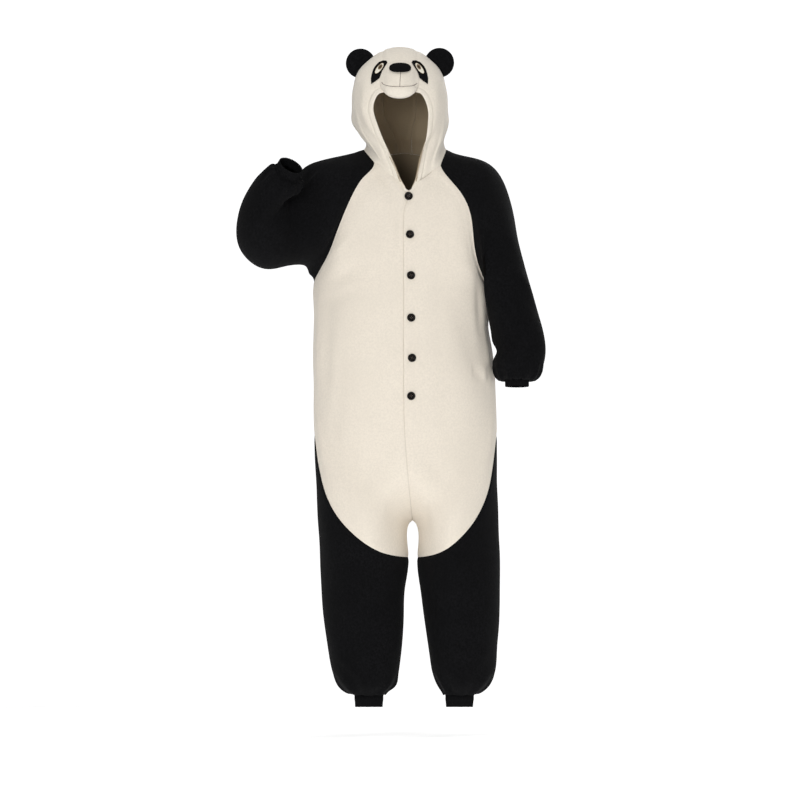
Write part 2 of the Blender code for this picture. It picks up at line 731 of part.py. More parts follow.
def smooth_skin(cage, levels):
    """The whole suit as one open mesh, with each cell's panel as its material index."""
    names = list(PANEL_COLOURS)
    mesh = bpy.data.meshes.new("skin")
    mesh.from_pydata([tuple(place) for place in fitted_points(cage)], [], cage.cells)
    for _ in names:
        mesh.materials.append(None)
    for face, panel in zip(mesh.polygons, cage.panels):
        face.material_index = names.index(panel)
    guide = bpy.data.objects.new("skin_guide", mesh)
    bpy.context.scene.collection.objects.link(guide)
    smooth = guide.modifiers.new("smooth", "SUBSURF")
    smooth.levels = levels
    smooth.render_levels = levels
    smooth.boundary_smooth = "ALL"
    bpy.context.view_layer.update()
    evaluated = guide.evaluated_get(bpy.context.evaluated_depsgraph_get())
    skin = bmesh.new()
    skin.from_mesh(evaluated.to_mesh())
    evaluated.to_mesh_clear()
    bpy.data.objects.remove(guide)
    bpy.data.meshes.remove(mesh)
    skin.normal_update()
    shifts = [vertex.normal * (fold_shift(vertex.co) + gather_shift(vertex.co)) for vertex in skin.verts]
    for vertex, shift in zip(skin.verts, shifts):
        vertex.co += shift
    skin.normal_update()
    skin.verts.index_update()
    skin.verts.ensure_lookup_table()
    skin.faces.ensure_lookup_table()
    return skin, names


def panel_border_shift(vertex, panel_index):
    """Small step into the panel, away from its own border, so that neighbours keep the seam's gap."""
    inward = []
    for edge in vertex.link_edges:
        own = [face for face in edge.link_faces if face.material_index == panel_index]
        if len(own) != 1 or len(edge.link_faces) == 1:
            continue
        direction = (edge.other_vert(vertex).co - vertex.co).normalized()
        side = own[0].calc_center_median() - vertex.co
        step = side - direction * side.dot(direction)
        step -= vertex.normal * step.dot(vertex.normal)
        inward.append(step.normalized())
    if not inward:
        return Vector()
    if len(inward) == 1:
        return inward[0] * SEAM_GAP / 2
    total = inward[0] + inward[1]
    return total * (SEAM_GAP / 2) / max(CORNER_LIMIT, 1.0 + inward[0].dot(inward[1]))


def wall_object(name, cells, wall_points, collection, colour):
    """A closed wall: the outer cells, the same cells on the inner points, and a rim along the border."""
    outer = [tuple(place) for place, _ in wall_points]
    inner = [tuple(place) for _, place in wall_points]
    count = len(outer)
    faces = [list(cell) for cell in cells]
    faces += [[index + count for index in cell[:1] + cell[:0:-1]] for cell in cells]
    uses = {}
    for cell in cells:
        for index, start in enumerate(cell):
            end = cell[(index + 1) % len(cell)]
            uses[(start, end)] = True
    for start, end in uses:
        if (end, start) not in uses:
            faces.append([end, start, start + count, end + count])
    return mesh_object(name, outer + inner, faces, collection, colour)


def mesh_object(name, points, faces, collection, colour):
    mesh = bpy.data.meshes.new(name)
    mesh.from_pydata(points, [], faces)
    mesh.update()
    mesh.materials.append(cloth_material(name, colour))
    thing = bpy.data.objects.new(name, mesh)
    collection.objects.link(thing)
    mesh.shade_smooth()
    mesh.set_sharp_from_angle(angle=SHARP_ANGLE)
    return thing


def cloth_material(name, colour):
    material = bpy.data.materials.new(name)
    material.use_nodes = True
    shader = material.node_tree.nodes["Principled BSDF"]
    shader.inputs["Base Color"].default_value = (*colour[:3], 1.0)
    shader.inputs["Roughness"].default_value = colour[3]
    shader.inputs["Metallic"].default_value = 0.0
    return material


def lap_distances(skin, names):
    """Distance of each point of the left front from the lap line, measured along the cloth's width."""
    right = names.index("front_right")
    left = names.index("front_left")
    line = []
    for vertex in skin.verts:
        kinds = {face.material_index for face in vertex.link_faces}
        if right in kinds and left in kinds:
            line.append(vertex.co.copy())
    distances = {}
    for vertex in skin.verts:
        if any(face.material_index == left for face in vertex.link_faces):
            gaps = [math.hypot(vertex.co.x - place.x, vertex.co.z - place.z) for place in line]
            distances[vertex.index] = min(gaps)
    return distances


def lap_raise(distance, height):
    """How far the left front stands off the right one at this distance from the lap line."""
    fade = 1.0 - smooth_step((distance - LAP_FULL_WIDTH) / LAP_FADE_WIDTH)
    end = smooth_step((height - STAND_END_Z) / LAP_END_FADE + 1.0)
    return LAP_RAISE * fade * end


def add_panels(skin, names, collection):
    distances = lap_distances(skin, names)
    for panel_index, name in enumerate(names):
        faces = [face for face in skin.faces if face.material_index == panel_index]
        order = {}
        wall_points = []
        cells = []
        for face in faces:
            for vertex in face.verts:
                if vertex.index in order:
                    continue
                order[vertex.index] = len(wall_points)
                place = vertex.co + panel_border_shift(vertex, panel_index)
                if name == "front_left":
                    place += vertex.normal * lap_raise(distances[vertex.index], vertex.co.z)
                wall_points.append((place, place - vertex.normal * WALL))
            cells.append([order[vertex.index] for vertex in face.verts])
        wall_object(name, cells, wall_points, collection, PANEL_COLOURS[name])


def add_button_stand(skin, names, collection):
    """The under-lap of the front opening: a strip behind the edge of the left front."""
    left = names.index("front_left")
    right = names.index("front_right")
    rungs = []
    for vertex in skin.verts:
        kinds = {face.material_index for face in vertex.link_faces}
        if not (left in kinds and right in kinds and STAND_END_Z < vertex.co.z < STAND_TOP_Z):
            continue
        for edge in vertex.link_edges:
            if all(face.material_index == left for face in edge.link_faces):
                rungs.append((vertex, edge.other_vert(vertex)))
    rungs.sort(key=lambda rung: -rung[0].co.z)
    wall_points = []
    for near, far in rungs:
        across = far.co - near.co
        for share in (SEAM_GAP / across.length, STAND_WIDTH_SHARE):
            place = near.co + across * share
            normal = near.normal.lerp(far.normal, share).normalized()
            wall_points.append((place, place - normal * WALL))
    cells = []
    for index in range(len(rungs) - 1):
        first = index * 2
        cells.append([first, first + 2, first + 3, first + 1])
    wall_object("button_stand", cells, wall_points, collection, CREAM)


def surface_hit(tree, x, z):
    """First point of the cloth seen from the front at this place, and its outward direction."""
    place, normal, _, _ = tree.ray_cast(Vector((x, -1.0, z)), Vector((0.0, 1.0, 0.0)))
    return place, normal


def add_buttons(skin, collection):
    tree = BVHTree.FromBMesh(skin)
    for number, (x, z) in enumerate(BUTTONS, start=1):
        place, normal = surface_hit(tree, x, z)
        bpy.ops.mesh.primitive_cylinder_add(
            vertices=BUTTON_SIDES,
            radius=BUTTON_RADIUS,
            depth=BUTTON_THICKNESS,
        )
        button = bpy.context.object
        button.name = f"button_{number}"
        button.data.name = button.name
        lift = LAP_RAISE + BUTTON_LIFT + BUTTON_THICKNESS / 2
        button.location = place + normal * lift
        button.rotation_euler = normal.to_track_quat("Z", "Y").to_euler()
        edge = button.modifiers.new("rim", "BEVEL")
        edge.width = BUTTON_RIM
        edge.segments = 1
        button.data.materials.append(cloth_material(button.name, BUTTON_COLOUR))
        for owner in list(button.users_collection):
            owner.objects.unlink(button)
        collection.objects.link(button)


def front_depth(tree, x, z):
    """Depth of a surface seen from the front at a place, carried on below the hood's edge."""
    for step in range(EDGE_STEPS):
        inward = (FACE_MIDDLE_X - x) * step * EDGE_STEP_ACROSS
        place, _ = surface_hit(tree, x + inward, z + step * EDGE_STEP_UP)
        if place is not None and place.y < HOOD_FRONT_Y:
            return place.y
    return -HOOD_HALF_DEPTH


def oval(shape, side, narrowing=0.0):
    """Points round an oval in the front view, anticlockwise. A side mirrors it about the face's middle."""
    sign = SIGN[side] if side else 1
    middle = FACE_MIDDLE_X + sign * shape["x"] if side else shape["x"]
    tilt = math.radians(shape["tilt"]) * sign
    points = []
    for step in range(shape["points"]):
        angle = math.tau * step / shape["points"]
        power = 2 / shape["power"]
        across = math.copysign(abs(math.cos(angle)) ** power, math.cos(angle)) * shape["across"]
        up = math.copysign(abs(math.sin(angle)) ** power, math.sin(angle)) * shape["up"]
        across *= 1.0 - narrowing * max(0.0, up / shape["up"])
        x = middle + across * math.cos(tilt) - up * math.sin(tilt)
        z = shape["z"] + across * math.sin(tilt) + up * math.cos(tilt)
        points.append((x, z))
    return points


def eye_patch_outline(side):
    points = [(FACE_MIDDLE_X + SIGN[side] * x, z) for x, z in EYE_PATCH]
    rounded = []
    for index, point in enumerate(points):
        after = points[(index + 1) % len(points)]
        rounded.append(point)
        rounded.append(((point[0] + after[0]) / 2, (point[1] + after[1]) / 2))
    return rounded[::-1] if side == "right" else rounded


def stand_clear(points, cells, tree, gap):
    """Points moved out until every cell between them keeps the gap from the cloth under it."""
    places = [Vector(point) for point in points]
    for _ in range(CLEAR_ROUNDS):
        for cell in cells:
            corners = [places[index] for index in cell]
            samples = [(a + b) / 2 for a, b in zip(corners, corners[1:] + corners[:1])]
            samples.append(sum(corners, Vector()) / len(corners))
            for sample in samples + corners:
                near, normal, _, _ = tree.find_nearest(sample)
                short = gap - (sample - near).dot(normal)
                if short > 0.0:
                    for index in cell:
                        places[index] += normal * short
                    break
    return places


def pad(name, outline, rings, tree, gap, height, collection, colour):
    """A piece sewn on the front: its back follows the surface under it and its front stands off that.

    height holds the height at the edge and how much more there is in the middle.
    """
    edge, rise = height
    count = len(outline)
    middle_x = sum(x for x, _ in outline) / count
    middle_z = sum(z for _, z in outline) / count
    back = []
    swell = []
    for ring in range(rings + 1):
        share = math.sin(math.pi / 2 * ring / rings) if rise else ring / rings
        for x, z in outline if ring else outline[:1]:
            x = lerp(middle_x, x, share)
            z = lerp(middle_z, z, share)
            back.append((x, front_depth(tree, x, z) - gap, z))
            swell.append(edge + rise * math.sqrt(max(0.0, 1.0 - share * share)))
    cells = []
    for step in range(count):
        after = (step + 1) % count
        cells.append([0, 1 + step, 1 + after])
        for ring in range(1, rings):
            inner = 1 + (ring - 1) * count
            outer = 1 + ring * count
            cells.append([inner + step, outer + step, outer + after, inner + after])
    back = stand_clear(back, cells, tree, gap)
    front = [place - Vector((0.0, rise_here, 0.0)) for place, rise_here in zip(back, swell)]
    wall_object(name, cells, list(zip(front, back)), collection, colour)
    return BVHTree.FromPolygons(front, cells)


def add_face(tree, collection):
    outline = oval(MUZZLE, None, MUZZLE_NARROWING)
    height = (MUZZLE_EDGE, MUZZLE_RISE)
    muzzle = pad("muzzle", outline, MUZZLE_RINGS, tree, APPLIQUE_GAP, height, collection, CREAM)
    height = (NOSE_EDGE, NOSE_RISE)
    pad("nose", oval(NOSE, None), NOSE_RINGS, muzzle, APPLIQUE_GAP, height, collection, BLACK)
    felt = (FELT_THICKNESS, 0.0)
    thin = (IRIS_THICKNESS, 0.0)
    for side in SIDES:
        name = f"eye_patch_{side}"
        outline = eye_patch_outline(side)
        patch = pad(name, outline, PATCH_RINGS, tree, APPLIQUE_GAP, felt, collection, BLACK)
        name = f"eye_white_{side}"
        outline = oval(EYE_WHITE, side)
        white = pad(name, outline, EYE_RINGS, patch, PATCH_GAP, felt, collection, WHITE_FELT)
        pad(f"iris_{side}", oval(IRIS, side), EYE_RINGS, white, PATCH_GAP, thin, collection, BROWN)


def add_ears(tree, collection):
    """Each ear starts as a flattened ball, and what would lie in the hood is laid on its surface."""
    for side in SIDES:
        ball = bmesh.new()
        bmesh.ops.create_uvsphere(ball, u_segments=EAR_SEGMENTS, v_segments=EAR_RINGS, radius=1.0)
        middle = Vector(EAR_PLACES[side])
        for vertex in ball.verts:
            swell = EAR_HALF_THICKNESS * vertex.co.y
            vertex.co = middle + Vector((vertex.co.x * EAR_RADIUS, swell, vertex.co.z * EAR_RADIUS))
            place, normal, _, _ = tree.find_nearest(vertex.co)
            if (vertex.co - place).dot(normal) < EAR_GAP:
                vertex.co = place + normal * EAR_GAP
        cells = [[vertex.index for vertex in face.verts] for face in ball.faces]
        places = stand_clear([vertex.co for vertex in ball.verts], cells, tree, EAR_GAP)
        for vertex, place in zip(ball.verts, places):
            vertex.co = place
        bmesh.ops.recalc_face_normals(ball, faces=ball.faces)
        mesh = bpy.data.meshes.new("ear_" + side)
        ball.to_mesh(mesh)
        ball.free()
        mesh.materials.append(cloth_material("ear_" + side, BLACK))
        mesh.shade_smooth()
        collection.objects.link(bpy.data.objects.new("ear_" + side, mesh))


def main():
    for thing in list(bpy.data.objects):
        bpy.data.objects.remove(thing)
    collection = bpy.data.collections.new(COLLECTION)
    bpy.context.scene.collection.children.link(collection)
    cage = build_cage()
    skin, names = smooth_skin(cage, SMOOTH_LEVELS)
    add_panels(skin, names, collection)
    add_button_stand(skin, names, collection)
    add_buttons(skin, collection)
    tree = BVHTree.FromBMesh(skin)
    add_face(tree, collection)
    add_ears(tree, collection)
    skin.free()


main()
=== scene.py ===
"""Panda costume: a hooded one-piece suit of fleece, shaped as worn, with one arm raised and one hanging.

The suit is one smooth skin over a cage of rings, cut along its seams into the pieces that are sewn.
Each piece is a thin wall of cloth with soft creases, seams that sink in and hems that stand proud.
Stitches and the ribs of the cuffs are made by node trees. Z is up, the front faces -Y, the right side
is the one towards -X, and every length is in metres.
"""
import math

import bmesh
import bpy
import numpy as np
from mathutils import Matrix, Vector, noise
from mathutils.bvhtree import BVHTree
from mathutils.kdtree import KDTree


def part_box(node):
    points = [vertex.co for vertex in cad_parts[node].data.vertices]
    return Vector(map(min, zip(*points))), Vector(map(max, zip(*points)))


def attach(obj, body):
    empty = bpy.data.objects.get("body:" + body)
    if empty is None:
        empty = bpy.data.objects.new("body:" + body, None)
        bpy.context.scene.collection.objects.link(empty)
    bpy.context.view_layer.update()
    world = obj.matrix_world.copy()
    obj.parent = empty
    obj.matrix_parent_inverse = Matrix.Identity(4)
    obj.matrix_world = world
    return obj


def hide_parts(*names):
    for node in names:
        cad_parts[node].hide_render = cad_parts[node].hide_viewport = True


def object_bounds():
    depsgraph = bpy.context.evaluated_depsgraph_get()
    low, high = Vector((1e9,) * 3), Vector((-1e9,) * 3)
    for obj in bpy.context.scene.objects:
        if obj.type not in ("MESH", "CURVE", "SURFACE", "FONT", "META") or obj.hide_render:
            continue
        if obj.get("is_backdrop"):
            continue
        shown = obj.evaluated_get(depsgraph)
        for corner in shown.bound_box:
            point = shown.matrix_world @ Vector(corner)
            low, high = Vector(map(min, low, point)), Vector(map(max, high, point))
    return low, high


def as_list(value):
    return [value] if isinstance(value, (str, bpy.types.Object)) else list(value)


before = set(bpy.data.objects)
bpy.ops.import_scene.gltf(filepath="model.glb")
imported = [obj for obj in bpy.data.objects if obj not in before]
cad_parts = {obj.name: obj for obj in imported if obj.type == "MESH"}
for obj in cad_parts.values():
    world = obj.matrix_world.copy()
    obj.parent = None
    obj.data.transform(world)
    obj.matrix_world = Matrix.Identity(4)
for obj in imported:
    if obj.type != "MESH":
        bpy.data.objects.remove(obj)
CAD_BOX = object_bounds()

bl_info = {
    "name": "Panda Costume",
    "version": (1, 0, 0),
    "blender": (4, 5, 0),
    "location": "3D View > Sidebar > Costume",
    "description": "Builds a hooded fleece panda suit with its seams, stitches, buttons and padded face",
    "category": "Object",
}

WALL = 0.0025

# Grid of the cage, counted in cells
HALF_COLUMNS = 8
SIDE_COLUMN = 4
RAGLAN_ROWS = 5
SLEEVE_COLUMNS = 12
HOOD_COLUMNS = 9
HOOD_ROWS = 6
# The smooth surface is fitted to the tables' points: fully at border and regular points, told by how many
# points shape them, and partly where more or fewer than four cells meet.
FIT_ROUNDS = 10
BORDER_STENCIL = 3
REGULAR_STENCIL = 9
IRREGULAR_FIT = 0.3

SIDES = ("right", "left")
SIGN = {"right": -1, "left": 1}

# Front opening: the line that the left front laps to, from the V of the neck to the last torso ring.
# Columns: x, y, z.
LAP_LINE = (
    (0.010, -0.130, -0.082),
    (0.000, -0.136, -0.127),
    (-0.003, -0.142, -0.180),
    (-0.003, -0.148, -0.236),
    (-0.003, -0.153, -0.292),
    (-0.003, -0.158, -0.350),
    (-0.003, -0.168, -0.470),
    (-0.003, -0.172, -0.600),
    (0.000, -0.168, -0.730),
    (0.009, -0.152, -0.850),
)
# Middle of the back over the same rings, from the nape down. Columns: x, y, z.
BACK_LINE = (
    (0.000, 0.108, 0.020),
    (0.000, 0.130, -0.050),
    (0.000, 0.142, -0.125),
    (0.000, 0.148, -0.200),
    (0.000, 0.152, -0.270),
    (0.000, 0.155, -0.340),
    (0.000, 0.158, -0.465),
    (0.000, 0.162, -0.600),
    (0.000, 0.162, -0.730),
    (0.004, 0.150, -0.850),
)
CROTCH = (0.020, 0.005, -0.957)
# How the neckline and the torso rings bend between the middle and the side
NECKLINE_CURVE = 1.6
TORSO_ROUNDNESS = 0.92

# Raglan seams from the neck down to the underarm. Columns: x, y, z.
FRONT_RAGLAN = {
    "right": (
        (-0.077, -0.092, -0.009),
        (-0.114, -0.112, -0.052),
        (-0.148, -0.118, -0.114),
        (-0.179, -0.108, -0.188),
        (-0.209, -0.077, -0.260),
        (-0.243, 0.000, -0.324),
    ),
    "left": (
        (0.091, -0.092, -0.016),
        (0.140, -0.112, -0.077),
        (0.172, -0.118, -0.143),
        (0.182, -0.112, -0.220),
        (0.200, -0.085, -0.297),
        (0.231, -0.008, -0.371),
    ),
}
BACK_RAGLAN = {
    "right": (
        (-0.078, 0.092, 0.012),
        (-0.122, 0.108, -0.040),
        (-0.160, 0.114, -0.105),
        (-0.190, 0.104, -0.180),
        (-0.215, 0.072, -0.255),
    ),
    "left": (
        (0.080, 0.092, 0.008),
        (0.125, 0.108, -0.052),
        (0.163, 0.114, -0.125),
        (0.192, 0.104, -0.205),
        (0.212, 0.072, -0.290),
    ),
}
# Top of the shoulder at the neck seam
NECK_SIDE = {"right": (-0.110, 0.002, 0.028), "left": (0.111, 0.002, 0.030)}

# Side seam at the torso rings under the underarm. Columns: x, z.
SIDE_LINE = {
    "right": ((-0.2425, -0.392), (-0.2425, -0.458), (-0.2430, -0.524), (-0.2425, -0.590)),
    "left": ((0.2210, -0.430), (0.2290, -0.487), (0.2360, -0.540), (0.2400, -0.592)),
}

# Leg rings from the crotch to the ankle. The inner and outer points are on the inseam and side seam.
# Columns: outer x, outer z, inner x, inner z, half depth, angles of columns 1 to 3.
LEG_RINGS = {
    "right": (
        (-0.2425, -0.660, 0.0200, -0.957, 0.152, (72, 108, 145)),
        (-0.2410, -0.726, 0.0095, -1.052, 0.146, (62, 102, 142)),
        (-0.2370, -0.830, 0.0010, -1.130, 0.136, (54, 96, 139)),
        (-0.2305, -0.960, -0.0030, -1.200, 0.126, (48, 92, 136)),
        (-0.2240, -1.090, -0.0060, -1.265, 0.116, (45, 90, 135)),
        (-0.2170, -1.200, -0.0120, -1.320, 0.107, (45, 90, 135)),
        (-0.2050, -1.290, -0.0170, -1.362, 0.098, (45, 90, 135)),
        (-0.1910, -1.360, -0.0265, -1.392, 0.086, (45, 90, 135)),
        (-0.1680, -1.400, -0.0440, -1.408, 0.067, (45, 90, 135)),
        (-0.1470, -1.414, -0.0500, -1.417, 0.051, (45, 90, 135)),
        (-0.1349, -1.417, -0.0559, -1.418, 0.0395, (45, 90, 135)),
        (-0.1314, -1.449, -0.0594, -1.449, 0.0360, (45, 90, 135)),
    ),
    "left": (
        (0.2420, -0.660, 0.0200, -0.957, 0.152, (72, 108, 145)),
        (0.2438, -0.726, 0.0330, -1.052, 0.146, (62, 102, 142)),
        (0.2438, -0.830, 0.0400, -1.130, 0.136, (54, 96, 139)),
        (0.2478, -0.960, 0.0490, -1.200, 0.126, (48, 92, 136)),
        (0.2518, -1.090, 0.0583, -1.265, 0.116, (45, 90, 135)),
        (0.2504, -1.200, 0.0663, -1.320, 0.107, (45, 90, 135)),
        (0.2450, -1.290, 0.0742, -1.362, 0.096, (45, 90, 135)),
        (0.2370, -1.360, 0.0888, -1.392, 0.083, (45, 90, 135)),
        (0.2125, -1.400, 0.0970, -1.408, 0.063, (45, 90, 135)),
        (0.1930, -1.414, 0.1010, -1.417, 0.049, (45, 90, 135)),
        (0.1829, -1.417, 0.1059, -1.418, 0.0385, (45, 90, 135)),
        (0.1794, -1.449, 0.1094, -1.449, 0.0350, (45, 90, 135)),
    ),
}
LEG_DEPTH_CENTRE = 0.004
ANKLE_SEAM_RING = 10
LOBE_RING = 1

# Sleeve rings from beside the armhole to the wrist. "inner" is the point in the crook of the elbow, or
# beside the body on the hanging arm, and "outer" the one across the sleeve from it.
# Columns: inner x, y, z, outer x, y, z, half width.
SLEEVE_RINGS = {
    "right": (
        (-0.200, -0.105, -0.040, -0.262, 0.080, -0.262, 0.144),
        (-0.254, -0.093, -0.084, -0.288, 0.068, -0.248, 0.114),
        (-0.303, -0.085, -0.112, -0.346, 0.052, -0.252, 0.100),
        (-0.3110, -0.091, -0.109, -0.398, 0.030, -0.264, 0.097),
        (-0.3140, -0.098, -0.104, -0.440, 0.000, -0.218, 0.093),
        (-0.3140, -0.105, -0.098, -0.443, -0.045, -0.150, 0.087),
        (-0.3080, -0.113, -0.092, -0.423, -0.085, -0.098, 0.078),
        (-0.2950, -0.123, -0.087, -0.394, -0.122, -0.054, 0.066),
        (-0.2780, -0.139, -0.084, -0.369, -0.141, -0.030, 0.054),
        (-0.2729, -0.1496, -0.0651, -0.3547, -0.1496, -0.0191, 0.047),
        (-0.2788, -0.1535, -0.0537, -0.3424, -0.1535, -0.0179, 0.0365),
        (-0.2714, -0.1650, -0.0340, -0.3306, -0.1650, -0.0006, 0.0335),
    ),
    "left": (
        (0.2335, -0.010, -0.392, 0.195, -0.005, 0.002, 0.128),
        (0.2315, -0.018, -0.410, 0.2465, -0.008, -0.037, 0.119),
        (0.2300, -0.028, -0.428, 0.273, -0.012, -0.106, 0.109),
        (0.2290, -0.038, -0.447, 0.297, -0.022, -0.205, 0.099),
        (0.2300, -0.048, -0.467, 0.3315, -0.035, -0.331, 0.089),
        (0.2345, -0.056, -0.487, 0.362, -0.045, -0.437, 0.080),
        (0.2425, -0.064, -0.508, 0.372, -0.055, -0.506, 0.073),
        (0.2320, -0.074, -0.535, 0.3665, -0.066, -0.543, 0.070),
        (0.2370, -0.077, -0.566, 0.3580, -0.072, -0.566, 0.060),
        (0.2490, -0.078, -0.584, 0.3430, -0.077, -0.584, 0.046),
        (0.2625, -0.078, -0.584, 0.3295, -0.078, -0.584, 0.0335),
        (0.2660, -0.078, -0.600, 0.3260, -0.078, -0.600, 0.0300),
    ),
}
# Angle round the sleeve, from its underside over the front, at which "inner" lies, in degrees
INNER_ANGLE = {"right": 140.0, "left": 0.0}
WRIST_SEAM_RING = 10
# Share of the way to the armhole's own line that the first ring goes at the underarm
ARMHOLE_FOLLOW = {"right": 1.0, "left": 0.0}

# Edge of the hood round the face, from the V up to the forehead. Columns: right x, left x, y, z.
FACE_EDGE = (
    (0.010, 0.010, -0.130, -0.082),
    (-0.037, 0.044, -0.124, 0.003),
    (-0.058, 0.056, -0.120, 0.054),
    (-0.077, 0.061, -0.116, 0.104),
    (-0.084, 0.059, -0.116, 0.138),
    (-0.076, 0.049, -0.124, 0.164),
    (-0.057, 0.031, -0.133, 0.177),
)
FACE_EDGE_TOP = (-0.014, -0.139, 0.180)
# Hood over the head: a rounded form with its widest ring at HOOD_WIDEST_Z
HOOD_CENTRE_X = -0.014
HOOD_WIDEST_Z = 0.135
HOOD_HALF_WIDTH = 0.128
HOOD_HALF_DEPTH = 0.143
HOOD_TOP_Z = 0.300
HOOD_ROUNDNESS = 2.3
HOOD_NECK_WIDTH = 0.108
HOOD_NECK_Z = 0.010
HOOD_NECK_DEPTH = 0.122
HOOD_NECK_TAPER = 1.5
HOOD_LEAST_BREADTH = 0.02
# In front of this depth the hood's front edge is under the face
HOOD_FRONT_Y = -0.030
EDGE_STEPS = 30
EDGE_STEP_UP = 0.002
EDGE_STEP_ACROSS = 0.01
# The centre panel runs from the forehead over the crown to the nape
GUSSET_HALF_WIDTH = 0.045
GUSSET_FACE_HALF_WIDTH = 0.041
GUSSET_NAPE_HALF_WIDTH = 0.022
GUSSET_WIDENING = 1.3
GUSSET_FACE_COLUMNS = 3
FOREHEAD_ANGLE = -76.0
CROWN_ANGLE = 48.0
OCCIPUT_ANGLE = 94.0
OCCIPUT_ROW = 4
NAPE_BULGE = 0.012
GUSSET_ROUNDING = 0.9

# Soft folds of the worn cloth: a trough or, with a minus sign, a ridge along a line.
# Columns: start x, y, z, end x, y, z, half width, depth.
FOLDS = (
    (-0.300, -0.110, -0.150, -0.225, -0.110, -0.075, 0.024, 0.006),
    (-0.255, -0.100, -0.240, -0.190, -0.120, -0.120, 0.028, -0.005),
    (-0.420, -0.060, -0.240, -0.350, -0.080, -0.180, 0.024, 0.005),
    (-0.300, 0.050, -0.270, -0.240, 0.080, -0.150, 0.028, 0.005),
    (0.270, -0.110, -0.330, 0.340, -0.080, -0.400, 0.026, 0.006),
    (0.260, -0.110, -0.430, 0.350, -0.090, -0.480, 0.024, -0.005),
    (0.250, 0.060, -0.300, 0.330, 0.040, -0.390, 0.028, 0.006),
    (-0.100, -0.130, -1.080, -0.190, -0.110, -1.180, 0.035, 0.006),
    (0.110, -0.130, -1.100, 0.200, -0.110, -1.210, 0.035, 0.006),
    (-0.060, 0.130, -0.900, -0.160, 0.120, -1.020, 0.040, 0.007),
    (0.080, 0.130, -0.900, 0.170, 0.120, -1.020, 0.040, 0.007),
)
# Share of a fold's depth left at the ends of its line
FOLD_END_SHARE = 0.35
# Gathers where a sleeve or leg is drawn onto its cuff.
# Columns: middle x, y, z of the seam, direction up the limb x, y, z, count, reach, depth.
GATHERS = (
    (-0.3106, -0.1535, -0.0358, -0.400, 0.480, -0.785, 12, 0.050, 0.0030),
    (0.2960, -0.0780, -0.5840, 0.000, 0.000, 1.000, 12, 0.050, 0.0030),
    (-0.0954, 0.0040, -1.4170, 0.000, 0.000, 1.000, 8, 0.060, 0.0035),
    (0.1444, 0.0040, -1.4170, 0.000, 0.000, 1.000, 8, 0.060, 0.0035),
)
GATHER_RADIUS = 0.12
GATHER_START = -0.004

# Front closing
LAP_RAISE = 0.0028
LAP_FULL_WIDTH = 0.052
LAP_FADE_WIDTH = 0.050
LAP_END_FADE = 0.10
STAND_TOP_Z = -0.100
STAND_END_Z = -0.690
BUTTON_RADIUS = 0.011
# Columns: x, z.
BUTTONS = (
    (0.0095, -0.098),
    (0.0130, -0.199),
    (0.0155, -0.307),
    (0.0160, -0.419),
    (0.0180, -0.525),
    (0.0160, -0.625),
)

# Face on the hood, measured in the front view. Half sizes are across and up, and tilt is in degrees.
MUZZLE = {
    "x": -0.0145,
    "z": 0.2110,
    "across": 0.0520,
    "up": 0.0510,
    "tilt": 0.0,
    "power": 2.25,
    "points": 20,
}
# Share by which the muzzle is narrower at its top
MUZZLE_NARROWING = 0.14
MUZZLE_EDGE = 0.005
MUZZLE_RISE = 0.021
NOSE = {
    "x": -0.0130,
    "z": 0.2425,
    "across": 0.0290,
    "up": 0.0128,
    "tilt": 0.0,
    "power": 2.4,
    "points": 16,
}
NOSE_EDGE = 0.003
NOSE_RISE = 0.008
EYE_WHITE = {
    "x": 0.0535,
    "z": 0.2410,
    "across": 0.0063,
    "up": 0.0172,
    "tilt": 38.0,
    "power": 2.0,
    "points": 12,
}
IRIS = {
    "x": 0.0510,
    "z": 0.2448,
    "across": 0.0043,
    "up": 0.0080,
    "tilt": 36.0,
    "power": 2.0,
    "points": 10,
}
FACE_MIDDLE_X = -0.0145
# Outline of an eye patch, round the eye from its top over the inner side. Columns: x from the middle, z.
EYE_PATCH = (
    (0.0435, 0.2624),
    (0.0345, 0.2614),
    (0.0318, 0.2560),
    (0.0380, 0.2470),
    (0.0455, 0.2350),
    (0.0506, 0.2230),
    (0.0530, 0.2147),
    (0.0640, 0.2060),
    (0.0749, 0.1988),
    (0.0757, 0.2139),
    (0.0735, 0.2260),
    (0.0700, 0.2375),
    (0.0645, 0.2475),
    (0.0545, 0.2578),
)
FELT_THICKNESS = 0.0018
IRIS_THICKNESS = 0.0010
CLEAR_ROUNDS = 4

# Ears: padded round forms whose root lies on the hood. Columns: x, y, z of the middle.
EAR_RADIUS = 0.0385
EAR_HALF_THICKNESS = 0.015
EAR_PLACES = {"right": (-0.1177, -0.012, 0.2557), "left": (0.0911, -0.012, 0.2576)}
EAR_SEGMENTS = 64
EAR_RINGS = 40

# Sewn pieces of cloth, in the order that the skin numbers them
PANELS = (
    "front_right",
    "front_left",
    "back",
    "hood_right",
    "hood_left",
    "hood_centre",
    "sleeve_right",
    "sleeve_left",
    "cuff_right",
    "cuff_left",
    "leg_right_front",
    "leg_right_back",
    "leg_left_front",
    "leg_left_back",
    "ankle_cuff_right",
    "ankle_cuff_left",
)
